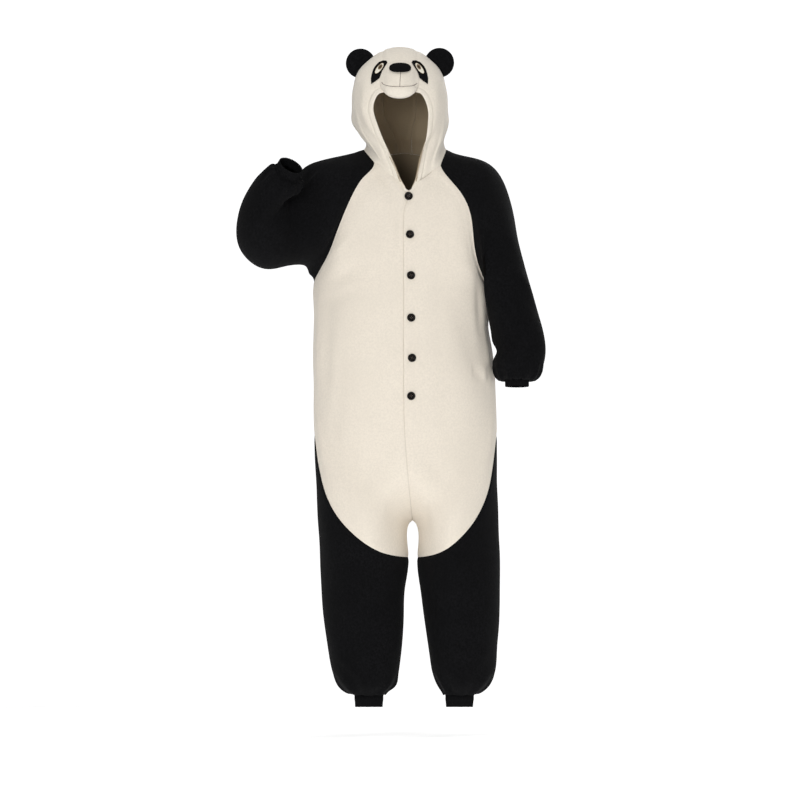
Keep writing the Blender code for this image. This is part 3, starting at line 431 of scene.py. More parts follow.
# Pieces of cloth. Columns: piece, smoothing levels, held, flat width, flat length, what it is sewn to.
CREAM_PIECES = (
    ("front_right", 4, "draped", 0.345, 1.060, ("hood_right", "sleeve_right", "back")),
    ("front_left", 4, "draped", 0.335, 1.060, ("hood_left", "sleeve_left", "back")),
    ("back", 4, "draped", 0.650, 1.130, ("hood_centre", "sleeve_right", "sleeve_left")),
    ("hood_right", 4, "hung", 0.310, 0.420, ("front_right", "back")),
    ("hood_left", 4, "hung", 0.310, 0.420, ("front_left", "back")),
    ("hood_centre", 4, "hung", 0.100, 0.600, ("hood_right", "hood_left", "back")),
)
BLACK_PIECES = (
    ("sleeve_right", 3, "hung", 0.620, 0.720, ("front_right", "back")),
    ("sleeve_left", 3, "hung", 0.620, 0.740, ("front_left", "back")),
    ("leg_right_front", 4, "hung", 0.390, 0.720, ("front_right", "leg_right_back")),
    ("leg_right_back", 4, "hung", 0.390, 0.720, ("back", "leg_right_front")),
    ("leg_left_front", 4, "hung", 0.380, 0.720, ("front_left", "leg_left_back")),
    ("leg_left_back", 4, "hung", 0.380, 0.720, ("back", "leg_left_front")),
)
# Finer creases, besides the main folds. Same columns as the folds.
CREASES = (
    (-0.014, -0.142, -0.100, -0.020, -0.152, -0.260, 0.013, 0.0040),
    (-0.034, -0.142, -0.105, -0.042, -0.152, -0.250, 0.020, -0.0016),
    (-0.078, -0.098, -0.022, -0.034, -0.128, -0.074, 0.014, 0.0038),
    (-0.055, -0.115, -0.030, -0.014, -0.132, -0.088, 0.012, -0.0022),
    (0.094, -0.098, -0.030, 0.040, -0.128, -0.080, 0.013, 0.0028),
    (0.192, -0.090, -0.310, 0.200, -0.078, -0.450, 0.014, 0.0055),
    (0.150, -0.125, -0.400, 0.200, -0.090, -0.590, 0.036, 0.0060),
    (0.215, -0.060, -0.430, 0.222, -0.050, -0.620, 0.016, -0.0040),
    (-0.196, -0.095, -0.380, -0.206, -0.085, -0.640, 0.020, 0.0045),
    (-0.222, -0.055, -0.360, -0.226, -0.050, -0.620, 0.014, -0.0030),
    (-0.160, -0.120, -0.560, -0.190, -0.100, -0.760, 0.026, 0.0036),
    (-0.060, -0.155, -0.760, -0.120, -0.135, -0.880, 0.030, 0.0045),
    (0.050, -0.155, -0.780, 0.130, -0.130, -0.880, 0.028, 0.0048),
    (-0.020, -0.150, -0.840, -0.085, -0.120, -0.980, 0.024, -0.0040),
    (0.030, -0.145, -0.860, 0.080, -0.120, -0.990, 0.022, -0.0040),
    (-0.100, -0.140, -0.270, -0.195, -0.100, -0.330, 0.020, 0.0034),
    (-0.120, -0.140, -0.350, -0.215, -0.080, -0.375, 0.018, 0.0030),
    (-0.150, -0.125, -0.200, -0.196, -0.100, -0.260, 0.014, -0.0026),
    (0.110, 0.150, -0.360, 0.200, 0.110, -0.430, 0.026, 0.0045),
    (-0.110, 0.150, -0.330, -0.205, 0.105, -0.390, 0.026, 0.0045),
    (-0.050, 0.160, -0.420, 0.060, 0.160, -0.450, 0.030, 0.0035),
    (-0.100, 0.155, -0.560, -0.190, 0.110, -0.680, 0.032, 0.0040),
    (0.090, 0.155, -0.580, 0.180, 0.110, -0.700, 0.032, 0.0040),
    (-0.030, 0.150, -0.110, -0.110, 0.135, -0.180, 0.020, 0.0030),
    (0.030, 0.150, -0.120, 0.110, 0.135, -0.200, 0.020, 0.0030),
    (-0.020, 0.158, -0.860, -0.080, 0.135, -0.990, 0.020, 0.0050),
    (0.045, 0.158, -0.860, 0.090, 0.135, -0.990, 0.020, 0.0050),
    (-0.345, -0.098, -0.200, -0.318, -0.100, -0.140, 0.012, 0.0050),
    (-0.375, -0.090, -0.235, -0.322, -0.094, -0.205, 0.014, -0.0034),
    (-0.405, -0.070, -0.165, -0.345, -0.110, -0.128, 0.012, 0.0036),
    (-0.430, -0.010, -0.205, -0.380, 0.040, -0.170, 0.020, 0.0040),
    (-0.290, 0.090, -0.130, -0.350, 0.060, -0.170, 0.020, 0.0040),
    (-0.240, -0.118, -0.050, -0.270, -0.100, -0.140, 0.022, 0.0040),
    (-0.395, -0.125, -0.075, -0.355, -0.150, -0.045, 0.010, 0.0030),
    (0.245, -0.110, -0.200, 0.300, -0.090, -0.260, 0.022, 0.0034),
    (0.238, -0.112, -0.270, 0.262, -0.118, -0.360, 0.014, 0.0040),
    (0.300, -0.100, -0.300, 0.345, -0.060, -0.350, 0.016, -0.0032),
    (0.262, -0.125, -0.470, 0.330, -0.122, -0.500, 0.013, 0.0045),
    (0.250, -0.125, -0.510, 0.345, -0.118, -0.530, 0.011, 0.0040),
    (0.300, 0.040, -0.430, 0.350, 0.010, -0.480, 0.018, 0.0040),
    (0.225, 0.095, -0.180, 0.285, 0.080, -0.260, 0.024, 0.0040),
    (-0.120, -0.120, -1.230, -0.190, -0.095, -1.290, 0.020, 0.0045),
    (-0.060, -0.110, -1.270, -0.130, -0.105, -1.330, 0.016, 0.0040),
    (-0.190, -0.085, -1.310, -0.120, -0.095, -1.370, 0.014, -0.0035),
    (0.100, -0.120, -1.240, 0.190, -0.095, -1.290, 0.020, 0.0045),
    (0.170, -0.100, -1.310, 0.100, -0.090, -1.350, 0.015, 0.0038),
    (0.225, -0.075, -1.300, 0.150, -0.090, -1.370, 0.014, -0.0035),
    (-0.200, 0.090, -1.080, -0.110, 0.125, -1.140, 0.026, 0.0045),
    (0.210, 0.095, -1.090, 0.110, 0.125, -1.150, 0.026, 0.0045),
    (-0.170, 0.090, -1.290, -0.080, 0.100, -1.330, 0.018, 0.0042),
    (0.200, 0.090, -1.290, 0.110, 0.100, -1.330, 0.018, 0.0042),
    (0.076, -0.085, 0.150, 0.066, -0.110, 0.020, 0.011, 0.0030),
    (0.098, -0.060, 0.120, 0.090, -0.085, 0.010, 0.012, -0.0026),
    (-0.100, -0.080, 0.130, -0.072, -0.105, 0.020, 0.012, 0.0030),
    (-0.120, -0.040, 0.110, -0.098, -0.070, 0.010, 0.014, -0.0026),
    (-0.110, 0.060, 0.080, -0.070, 0.110, 0.050, 0.016, 0.0034),
    (0.090, 0.060, 0.080, 0.060, 0.110, 0.050, 0.016, 0.0034),
    (-0.060, 0.128, 0.040, 0.050, 0.128, 0.042, 0.012, 0.0030),
)
# Gathers finer than the main ones beside each cuff. Same columns.
FINE_GATHERS = (
    (-0.3106, -0.1535, -0.0358, -0.400, 0.480, -0.785, 22, 0.034, 0.0011),
    (0.2960, -0.0780, -0.5840, 0.000, 0.000, 1.000, 22, 0.034, 0.0011),
    (-0.0954, 0.0040, -1.4170, 0.000, 0.000, 1.000, 14, 0.045, 0.0014),
    (0.1444, 0.0040, -1.4170, 0.000, 0.000, 1.000, 14, 0.045, 0.0014),
)
UNEVEN_SCALE = 11.0
UNEVEN_DEPTH = 0.0016

# Sewing: the gap left at a seam, the dip and swell beside it, the raised hem and the lap of the front
FINE_LEVELS = 4
CLOTH_SHARP_DEGREES = 50
SHOWN_GAP = 0.00004
SEAM_WIDTH = 0.0045
SEAM_PUFF_AT = 0.012
SEAM_PUFF = 0.0005
BORDER_SAMPLES = 3
HEM_RISE = 0.0022
HEM_STEP = 0.0026
HEM_DIP = 0.0008
HEM_EDGE = 0.0022
# The distance to the lap's edge is scaled by this share, so that the line of painted shadow there runs wider
# than at a seam
LAP_SHADOW_SHARE = 0.7
LAP_EDGE_ROUND = 0.0008
LAP_EDGE_WIDTH = 0.0030
LAP_STITCH_AT = 0.0085

# Mouth: a seam down from the nose, and a curve to each side. Columns: x, z.
MOUTH_CENTRE = ((-0.0117, 0.2300), (-0.0122, 0.2200), (-0.0130, 0.2080), (-0.0138, 0.1925))
MOUTH_CURVE = (
    (-0.0612, 0.2030),
    (-0.0580, 0.1985),
    (-0.0500, 0.1950),
    (-0.0397, 0.1925),
    (-0.0270, 0.1912),
    (-0.0138, 0.1908),
    (-0.0010, 0.1912),
    (0.0130, 0.1925),
    (0.0240, 0.1955),
    (0.0315, 0.2000),
)
PUPIL = {"x": 0.0510, "z": 0.2448, "across": 0.0017, "up": 0.0042, "tilt": 36.0, "power": 2.0, "points": 28}

# Cuffs, and what each is sewn to
CUFFS = (
    ("cuff_right", "sleeve_right"),
    ("cuff_left", "sleeve_left"),
    ("ankle_cuff_right", "leg_right_front"),
    ("ankle_cuff_left", "leg_left_front"),
)
CUFF_LEVELS = 3
CUFF_RIB_AREA = 1.10
RIB_LEVEL = 2

# Sewn lines, and the ball of thread that stands for each stitch
STITCH_SEGMENTS = 8
STITCH_RINGS = 6
LINE_SMOOTH_ROUNDS = 6
LINE_LIFT = 0.00005
HEM_STITCH_IN = 0.0028
CURVE_STEPS = 8

# Button stand
STAND_LEVELS = 3
STAND_COLUMNS = 8
STAND_WIDTH = 0.034

# Buttons. The profile's columns are radius and height.
BUTTON_SEGMENTS = 48
BUTTON_PROFILE = (
    (0.0, 0.0),
    (0.0080, 0.0),
    (0.0098, 0.0004),
    (0.0108, 0.0012),
    (0.0110, 0.0019),
    (0.0108, 0.0026),
    (0.0102, 0.0031),
    (0.0094, 0.0032),
    (0.0086, 0.0030),
    (0.0080, 0.0025),
    (0.0074, 0.0022),
    (0.0050, 0.0021),
    (0.0, 0.0021),
)
BUTTON_FACE = 0.0021
BUTTON_HOLES = ((-0.0020, -0.0020), (0.0020, -0.0020), (0.0020, 0.0020), (-0.0020, 0.0020))
BUTTON_HOLE_RADIUS = 0.0009
BUTTON_HOLE_SEGMENTS = 12
BUTTON_DRILL = 0.02
BUTTON_THREAD = 0.00045
BUTTON_THREAD_DROP = 0.0015
BUTTON_SEAT = 0.0004
BUTTON_LEAN = 0.007
BUTTON_SHARP_DEGREES = 35
# Path of a strand from hole to hole. Columns: share of the way, name of the height.
THREAD_PATH = (
    (0.0, "low"),
    (0.0, "face"),
    (0.12, "high"),
    (0.5, "high"),
    (0.88, "high"),
    (1.0, "face"),
    (1.0, "low"),
)
THREAD_SIDES = 8
THREAD_CROSSING = 0.0003
BUTTON_TWISTS = (12.0, 40.0, -20.0, 33.0, 5.0, -38.0)

# Face
FACE_GAP = 0.0004
MUZZLE_POINTS = 96
NOSE_POINTS = 64
EYE_POINTS = 48
PAD_RIM = 0.0008
PAD_LIP = 0.965
SOFT_POWER = 0.95
MUZZLE_RINGS = 18
NOSE_RINGS = 10
PATCH_RINGS = 8
WHITE_RINGS = 6
IRIS_RINGS = 5
PUPIL_RINGS = 3
MUZZLE_FIRM_DROP = 0.006
MUZZLE_FIRM_FADE = 0.034
FELT_RIM = 0.0006
EYE_MIDDLE = {side: (FACE_MIDDLE_X + SIGN[side] * EYE_WHITE["x"], EYE_WHITE["z"]) for side in SIDES}
EYE_LINE_IN = 0.03
EYE_LINE_LIFT = 0.0001
EYE_LINE_PITCH = 0.0009
EYE_LINE_LENGTH = 0.0020
EYE_LINE_THICKNESS = 0.0008
MOUTH_PITCH = 0.0014
MOUTH_LENGTH = 0.0026
MOUTH_THICKNESS = 0.0013
MOUTH_LIFT = 0.0001
NOSE_DROOP = 0.0014
PUPIL_GAP = 0.0001
PUPIL_THICKNESS = 0.0005
PUPIL_RIM = 0.0002

# Ears
EAR_FULLNESS = 1.035
EAR_PINCH = 0.035
EAR_PINCH_WIDTH = 0.10
EAR_DISH = 0.12
EAR_DISH_WIDTH = 0.7

# Fleece. Columns: colour, shade of the clumps, sheen, depth of the pile, tint of the tips, gloss.
FLEECES = {
    "cream_fleece": ("cream", 0.94, 0.25, 0.0005, 1.03, 0.15),
    "hood_fleece": ("hood", 0.95, 0.25, 0.0005, 1.03, 0.15),
    "black_fleece": ("black", 0.55, 0.01, 0.0006, 1.5, 0.06),
}
# Noise. Columns: scale, detail, roughness, distortion. A range is the span of it that a change runs over.
NOISE_RANGE = (0.30, 0.70)
BROAD_RANGE = (0.35, 0.65)
CLUMP_RANGE = (0.20, 0.80)
CLUMP_ROUGHNESS = (0.86, 1.0)
BROAD_NOISE = (9.0, 3.0)
CLUMP_NOISE = (190.0, 4.0, 0.65)
PILE_NOISE = (1100.0, 3.0, 0.7)
BROAD_SHADE = 0.35
# A thin line along each seam and along the lap's edge is darkened: painted shade in the sunk seam and painted
# shadow under the lap
SEAM_LINE = 0.0014
SEAM_PAINTED_SHADE = 0.84
# Darker brown of the cloth's inner wall: painted shade inside the hood and the suit
INSIDE_PAINTED_SHADE = (0.50, 0.43, 0.33)
SEAM_LINE_DEPTH = 0.8
CLUMP_HEIGHT = 0.8
PILE_HEIGHT = 0.6

# Felt, knit and thread. Columns: colour, fibre scale, stretch, contrast, depth, roughness, sheen, gloss.
EVEN = (1, 1, 1)
TEXTILES = {
    "black_rib": ("black", 900.0, EVEN, 0.35, 0.0003, 0.85, 0.0, 0.08),
    "black_felt": ("black", 700.0, EVEN, 0.40, 0.0003, 0.88, 0.0, 0.06),
    "white_felt": ("eye_white", 700.0, EVEN, 0.05, 0.0003, 0.85, 0.2, 0.2),
    "iris_thread": ("iris", 500.0, (6, 6, 1), 0.35, 0.0003, 0.55, 0.1, 0.2),
    "pupil_thread": ("black", 500.0, (6, 6, 1), 0.30, 0.0003, 0.45, 0.1, 0.2),
    "eye_line_thread": ("eye_line", 900.0, (1, 1, 4), 0.30, 0.0002, 0.6, 0.1, 0.2),
    "mouth_thread": ("mouth", 900.0, (1, 1, 4), 0.30, 0.0002, 0.7, 0.1, 0.2),
    "cream_thread": ("cream", 900.0, (1, 1, 4), 0.10, 0.0002, 0.7, 0.2, 0.2),
    "button_thread": ("button_thread", 900.0, (1, 1, 4), 0.2, 0.0002, 0.7, 0.1, 0.2),
}
FIBRE_NOISE = (5.0, 0.7)
FIBRE_ROUGHER = 0.1

# Button plastic and the stage's paper, with the same columns of noise
SWIRL_NOISE = (70.0, 4.0, 0.5, 2.5)
SWIRL_RANGE = (0.45, 0.75)
SWIRL_TINT = 2.0
WEAR_NOISE = (420.0, 3.0)
WEAR_ROUGHNESS = (0.26, 0.40)
WEAR_STRENGTH = 0.3
WEAR_DEPTH = 0.00005
PAPER_NOISE = (3.0, 2.0)
PAPER_UNEVEN = 0.01

# Stage. Columns of the lights: name, place, aim, size, power.
FLOOR_Z = -1.524
FLOOR_RADIUS = 4.0
BACKDROP_RADIUS = 52.0
BACKDROP_HEIGHT = 45.0
BACKDROP_DROP = 0.05
BACKDROP_GLOW = 0.80
STAGE_STEPS = 96
STAGE_TONE = 0.93
STAGE_GLOW = 0.48
LIGHTS = (
    ("key_light", (-1.5, -4.6, 0.5), (0.0, 0.0, -0.6), 2.0, 76.0),
    ("fill_light", (2.0, -4.4, 0.1), (0.0, 0.0, -0.7), 2.4, 33.0),
    ("top_light", (0.0, -0.4, 3.0), (0.0, 0.0, -0.6), 2.4, 30.0),
    ("back_light", (1.6, 3.6, 1.2), (0.0, 0.0, -0.5), 2.4, 60.0),
)
WORLD_STRENGTH = 0.33
CAMERA_PLACE = (-0.01325, -40.0, -0.636)
CAMERA_LENS = 679.25
CAMERA_SENSOR = 36.0


def lerp(a, b, share):
    return a + (b - a) * share


def smooth_step(share):
    share = min(1.0, max(0.0, share))
    return share * share * (3.0 - 2.0 * share)


class Cage:
    """Points that the finished skin passes through, and the four-sided cells between them."""

    def __init__(self):
        self.points = []
        self.cells = []
        self.panels = []

    def point(self, place):
        self.points.append(Vector(place))
        return len(self.points) - 1

    def line(self, places):
        return [self.point(place) for place in places]

    def strip(self, row_a, row_b, names, flip):
        """Cells between two rows of points. names is a panel's name, or a function of the column."""
        for column in range(len(row_a) - 1):
            cell = [row_a[column], row_a[column + 1], row_b[column + 1], row_b[column]]
            self.cells.append(cell if flip else cell[::-1])
            self.panels.append(names(column) if callable(names) else names)


def panel_rows(cage, middle_row, seam_row):
    """Rows of points between the middle line and a raglan seam. The first rows follow the neckline."""
    rows = []
    for index, (middle, seam) in enumerate(zip(middle_row, seam_row)):
        row = [middle]
        start = cage.points[middle]
        end = cage.points[seam]
        level = index / RAGLAN_ROWS
        for column in range(1, SIDE_COLUMN):
            share = column / SIDE_COLUMN
            turn = share * math.pi / 2
            across = lerp(share, math.sin(turn), level)
            back = lerp(share ** NECKLINE_CURVE, 1.0 - math.cos(turn), level)
            drop = lerp(share, 1.0 - math.cos(turn), level)
            place = (lerp(start.x, end.x, across), lerp(start.y, end.y, back), lerp(start.z, end.z, drop))
            row.append(cage.point(place))
        row.append(seam)
        rows.append(row)
    return rows


def torso_row(cage, front, back, side_place):
    """One half ring of the torso below the underarm, from the middle of the front to that of the back."""
    side_point = cage.point((side_place[0], 0.0, side_place[1]))
    row = [front]
    for column in range(1, HALF_COLUMNS):
        if column == SIDE_COLUMN:
            row.append(side_point)
            continue
        middle = cage.points[front] if column < SIDE_COLUMN else cage.points[back]
        turn = math.pi * column / HALF_COLUMNS
        across = math.sin(turn)
        x = lerp(middle.x, side_place[0], across)
        y = middle.y * abs(math.cos(turn)) ** TORSO_ROUNDNESS
        z = lerp(side_place[1], middle.z, math.sqrt(1.0 - across * across))
        row.append(cage.point((x, y, z)))
    row.append(back)
    return row


def leg_row(cage, ring, inner_point):
    """One ring of a leg, from the inseam round the front, the side and the back to the inseam again."""
    outer_x, outer_z, inner_x, inner_z, half_depth, turns = ring
    front = [0.0] + [math.radians(turn) for turn in turns]
    angles = front + [math.pi] + [math.tau - turn for turn in reversed(front[1:])]
    centre = (outer_x + inner_x) / 2
    half_width = (inner_x - outer_x) / 2
    row = [inner_point]
    for angle in angles[1:]:
        share = (1.0 - math.cos(angle)) / 2
        x = centre + half_width * math.cos(angle)
        y = LEG_DEPTH_CENTRE - half_depth * math.sin(angle)
        z = lerp(outer_z, inner_z, math.sqrt(max(0.0, 1.0 - share * share)))
        row.append(cage.point((x, y, z)))
    row.append(inner_point)
    return row


def sleeve_rows(cage, side, armhole):
    """Rings of a sleeve and its cuff. armhole is the closed loop that the first ring is sewn to."""
    rings = SLEEVE_RINGS[side]
    loop = [cage.points[index] for index in armhole[:-1]]
    centres = [sum(loop, Vector()) / len(loop)]
    centres += [(Vector(ring[0:3]) + Vector(ring[3:6])) / 2 for ring in rings]
    start = math.radians(INNER_ANGLE[side])
    rows = [armhole]
    for index, ring in enumerate(rings):
        inner = Vector(ring[0:3])
        outer = Vector(ring[3:6])
        half = (inner - outer) / 2
        if index >= WRIST_SEAM_RING - 2:
            along = Vector(centres[-1]) - Vector(centres[WRIST_SEAM_RING - 1])
        else:
            along = centres[index + 2] - centres[index]
        across = along.cross(half).normalized() * ring[6] * -SIGN[side]
        row = []
        for column in range(SLEEVE_COLUMNS):
            angle = math.tau * column / SLEEVE_COLUMNS - start
            row.append(cage.point(centres[index + 1] + half * math.cos(angle) + across * math.sin(angle)))
        rows.append(row + [row[0]])
    for column in range(SLEEVE_COLUMNS):
        low = ARMHOLE_FOLLOW[side] * (1.0 + math.cos(math.tau * column / SLEEVE_COLUMNS)) / 2
        between = (cage.points[armhole[column]] + cage.points[rows[2][column]]) / 2
        first = rows[1][column]
        cage.points[first] = cage.points[first].lerp(between, low)
    return rows


def hood_side_place(y, z, side):
    """Point of the hood's side over a place in the side view."""
    if z >= HOOD_WIDEST_Z:
        width = HOOD_HALF_WIDTH
        depth = HOOD_HALF_DEPTH
        rise = (z - HOOD_WIDEST_Z) / (HOOD_TOP_Z - HOOD_WIDEST_Z)
        centre = HOOD_CENTRE_X
    else:
        fall = (HOOD_WIDEST_Z - z) / (HOOD_WIDEST_Z - HOOD_NECK_Z)
        width = lerp(HOOD_HALF_WIDTH, HOOD_NECK_WIDTH, min(1.0, fall) ** HOOD_NECK_TAPER)
        depth = lerp(HOOD_HALF_DEPTH, HOOD_NECK_DEPTH, min(1.0, fall) ** HOOD_NECK_TAPER)
        rise = 0.0
        centre = lerp(HOOD_CENTRE_X, 0.0, smooth_step(fall))
    power = HOOD_ROUNDNESS
    rest = 1.0 - abs(y / depth) ** power - abs(rise) ** power
    breadth = width * max(rest, HOOD_LEAST_BREADTH) ** (1.0 / power)
    return Vector((centre + SIGN[side] * breadth, y, z))


def hood_ring_place(angle, half_width, side):
    """Point on the hood's centre profile, moved sideways to a seam of the centre panel."""
    turn = math.radians(angle)
    shrink = (1.0 - (half_width / HOOD_HALF_WIDTH) ** 2) ** 0.5
    y = HOOD_HALF_DEPTH * math.sin(turn) * shrink
    z = HOOD_WIDEST_Z + (HOOD_TOP_Z - HOOD_WIDEST_Z) * math.cos(turn) * shrink
    return Vector((HOOD_CENTRE_X + SIGN[side] * half_width, y, z))


def add_hood(cage, neck_rows, nape):
    """Side panels from the neck seam up, then the centre panel between their seams."""
    top_seams = {}
    for side in SIDES:
        neck = neck_rows[side]
        edge = [neck[0]]
        for right_x, left_x, y, z in FACE_EDGE[1:]:
            edge.append(cage.point((right_x if side == "right" else left_x, y, z)))
        top = [edge[-1]]
        for column in range(1, HOOD_COLUMNS + 1):
            angle = lerp(FOREHEAD_ANGLE, CROWN_ANGLE, column / HOOD_COLUMNS)
            spread = smooth_step(column / GUSSET_FACE_COLUMNS)
            half_width = lerp(GUSSET_FACE_HALF_WIDTH, GUSSET_HALF_WIDTH, spread)
            top.append(cage.point(hood_ring_place(angle, half_width, side)))
        nape_seam = cage.points[neck[-1]]
        back = [neck[-1]]
        for row in range(1, HOOD_ROWS):
            share = row / HOOD_ROWS
            spread = smooth_step(share * GUSSET_WIDENING)
            half_width = lerp(GUSSET_NAPE_HALF_WIDTH, GUSSET_HALF_WIDTH, spread)
            if row >= OCCIPUT_ROW:
                part = (HOOD_ROWS - row) / (HOOD_ROWS - OCCIPUT_ROW)
                place = hood_ring_place(lerp(CROWN_ANGLE, OCCIPUT_ANGLE, part), half_width, side)
            else:
                part = row / OCCIPUT_ROW
                place = nape_seam.lerp(hood_ring_place(OCCIPUT_ANGLE, half_width, side), part)
                place.y += NAPE_BULGE * math.sin(math.pi * part)
            back.append(cage.point(place))
        back.append(top[-1])
        rows = [neck]
        for row in range(1, HOOD_ROWS):
            v = row / HOOD_ROWS
            points = [edge[row]]
            for column in range(1, HOOD_COLUMNS):
                u = column / HOOD_COLUMNS
                flat = (
                    cage.points[edge[row]] * (1 - u)
                    + cage.points[back[row]] * u
                    + cage.points[neck[column]] * (1 - v)
                    + cage.points[top[column]] * v
                    - cage.points[neck[0]] * (1 - u) * (1 - v)
                    - cage.points[neck[-1]] * u * (1 - v)
                    - cage.points[top[0]] * (1 - u) * v
                    - cage.points[top[-1]] * u * v
                )
                points.append(cage.point(hood_side_place(flat.y, flat.z, side)))
            rows.append(points + [back[row]])
        rows.append(top)
        for lower, upper in zip(rows, rows[1:]):
            cage.strip(lower, upper, "hood_" + side, side == "left")
        top_seams[side] = top + back[-2::-1]
    middle = [cage.point(FACE_EDGE_TOP)]
    for column in range(1, HOOD_COLUMNS + 1):
        angle = lerp(FOREHEAD_ANGLE, CROWN_ANGLE, column / HOOD_COLUMNS)
        middle.append(cage.point(hood_ring_place(angle, 0.0, "left")))
    for row in range(HOOD_ROWS - 1, 0, -1):
        pair = [cage.points[top_seams[side][len(middle)]] for side in SIDES]
        centre = (pair[0] + pair[1]) / 2
        centre.y += (pair[1].x - pair[0].x) ** 2 * GUSSET_ROUNDING
        middle.append(cage.point(centre))
    middle.append(nape)
    for index in range(len(middle) - 1):
        ends = []
        for place in (index, index + 1):
            ends.append([top_seams["right"][place], middle[place], top_seams["left"][place]])
        cage.strip(ends[0], ends[1], "hood_centre", True)


def build_cage():
    cage = Cage()
    lap = cage.line(LAP_LINE)
    spine = cage.line(BACK_LINE)
    crotch = cage.point(CROTCH)
    neck_rows = {}
    for side in SIDES:
        flip = side == "left"
        front_seam = cage.line(FRONT_RAGLAN[side])
        back_seam = cage.line(BACK_RAGLAN[side]) + [front_seam[-1]]
        neck_side = cage.point(NECK_SIDE[side])
        top = RAGLAN_ROWS + 1
        fronts = panel_rows(cage, lap[:top], front_seam)
        backs = panel_rows(cage, spine[:top], back_seam)
        for index in range(RAGLAN_ROWS):
            cage.strip(fronts[index], fronts[index + 1], "front_" + side, not flip)
            cage.strip(backs[index], backs[index + 1], "back", flip)
        neck_rows[side] = fronts[0] + [neck_side] + backs[0][-1:0:-1]
        half = [fronts[-1] + backs[-1][-2::-1]]
        for index, place in enumerate(SIDE_LINE[side]):
            half.append(torso_row(cage, lap[top + index], spine[top + index], place))
        legs = LEG_RINGS[side]
        half.append(leg_row(cage, legs[0], crotch))
        for ring in legs[1:]:
            inner = cage.point((ring[2], LEG_DEPTH_CENTRE, ring[3]))
            half.append(leg_row(cage, ring, inner))
        first_leg = len(half) - len(legs)
        for index in range(len(half) - 1):
            if index < first_leg + LOBE_RING:
                names = [f"front_{side}", "back"]
            elif index < first_leg + ANKLE_SEAM_RING:
                names = [f"leg_{side}_front", f"leg_{side}_back"]
            else:
                names = [f"ankle_cuff_{side}"] * 2
            cage.strip(half[index], half[index + 1], lambda c, n=names: n[c >= SIDE_COLUMN], not flip)
        armhole = [front_seam[-1]] + front_seam[-2::-1] + [neck_side] + back_seam
        rows = sleeve_rows(cage, side, armhole)
        for index in range(len(rows) - 1):
            name = "sleeve_" if index < WRIST_SEAM_RING + 1 else "cuff_"
            cage.strip(rows[index], rows[index + 1], name + side, not flip)
    neck = {side: neck_rows[side][: HOOD_COLUMNS + 1] for side in SIDES}
    add_hood(cage, neck, spine[0])
    return cage


def limit_weights(mesh_count, cells):
    """For each point, the points and weights of its place on the smooth surface."""
    neighbours = [set() for _ in range(mesh_count)]
    opposite = [[] for _ in range(mesh_count)]
    edge_uses = {}
    for cell in cells:
        for index in range(4):
            a = cell[index]
            b = cell[(index + 1) % 4]
            neighbours[a].add(b)
            neighbours[b].add(a)
            opposite[a].append(cell[(index + 2) % 4])
            key = (min(a, b), max(a, b))
            edge_uses[key] = edge_uses.get(key, 0) + 1
    border = [[] for _ in range(mesh_count)]
    for (a, b), uses in edge_uses.items():
        if uses == 1:
            border[a].append(b)
            border[b].append(a)
    weights = []
    for index in range(mesh_count):
        if border[index]:
            weights.append([(index, 4 / 6)] + [(other, 1 / 6) for other in border[index]])
            continue
        valence = len(neighbours[index])
        total = valence * (valence + 5)
        row = [(index, valence * valence / total)]
        row += [(other, 4 / total) for other in neighbours[index]]
        row += [(other, 1 / total) for other in opposite[index]]
        weights.append(row)
    return weights


def fitted_points(cage):
    """Cage points moved out so that the smooth surface passes through the places in the tables."""
    weights = limit_weights(len(cage.points), cage.cells)
    places = [point.copy() for point in cage.points]
    for _ in range(FIT_ROUNDS):
        limits = []
        for row in weights:
            limit = Vector()
            for index, weight in row:
                limit += places[index] * weight
            limits.append(limit)
        for index, (goal, limit) in enumerate(zip(cage.points, limits)):
            regular = len(weights[index]) in (BORDER_STENCIL, REGULAR_STENCIL)
            places[index] += (goal - limit) * (1.0 if regular else IRREGULAR_FIT)
    return places


def surface_hit(tree, x, z):
    """First point of the cloth seen from the front at this place, and its outward direction."""
    place, normal, _, _ = tree.ray_cast(Vector((x, -1.0, z)), Vector((0.0, 1.0, 0.0)))
    return place, normal


def front_depth(tree, x, z):
    """Depth of a surface seen from the front at a place, carried on below the hood's edge."""
    for step in range(EDGE_STEPS):
        inward = (FACE_MIDDLE_X - x) * step * EDGE_STEP_ACROSS
        place, _ = surface_hit(tree, x + inward, z + step * EDGE_STEP_UP)
        if place is not None and place.y < HOOD_FRONT_Y:
            return place.y
    return -HOOD_HALF_DEPTH


def oval(shape, side, narrowing=0.0):
    """Points round an oval in the front view, anticlockwise. A side mirrors it about the face's middle."""
    sign = SIGN[side] if side else 1
    middle = FACE_MIDDLE_X + sign * shape["x"] if side else shape["x"]
    tilt = math.radians(shape["tilt"]) * sign
    points = []
    for step in range(shape["points"]):
        angle = math.tau * step / shape["points"]
        power = 2 / shape["power"]
        across = math.copysign(abs(math.cos(angle)) ** power, math.cos(angle)) * shape["across"]
        up = math.copysign(abs(math.sin(angle)) ** power, math.sin(angle)) * shape["up"]
        across *= 1.0 - narrowing * max(0.0, up / shape["up"])
        x = middle + across * math.cos(tilt) - up * math.sin(tilt)
        z = shape["z"] + across * math.sin(tilt) + up * math.cos(tilt)
        points.append((x, z))
    return points


def eye_patch_outline(side):
    points = [(FACE_MIDDLE_X + SIGN[side] * x, z) for x, z in EYE_PATCH]
    rounded = []
    for index, point in enumerate(points):
        after = points[(index + 1) % len(points)]
        rounded.append(point)
        rounded.append(((point[0] + after[0]) / 2, (point[1] + after[1]) / 2))
    return rounded[::-1] if side == "right" else rounded


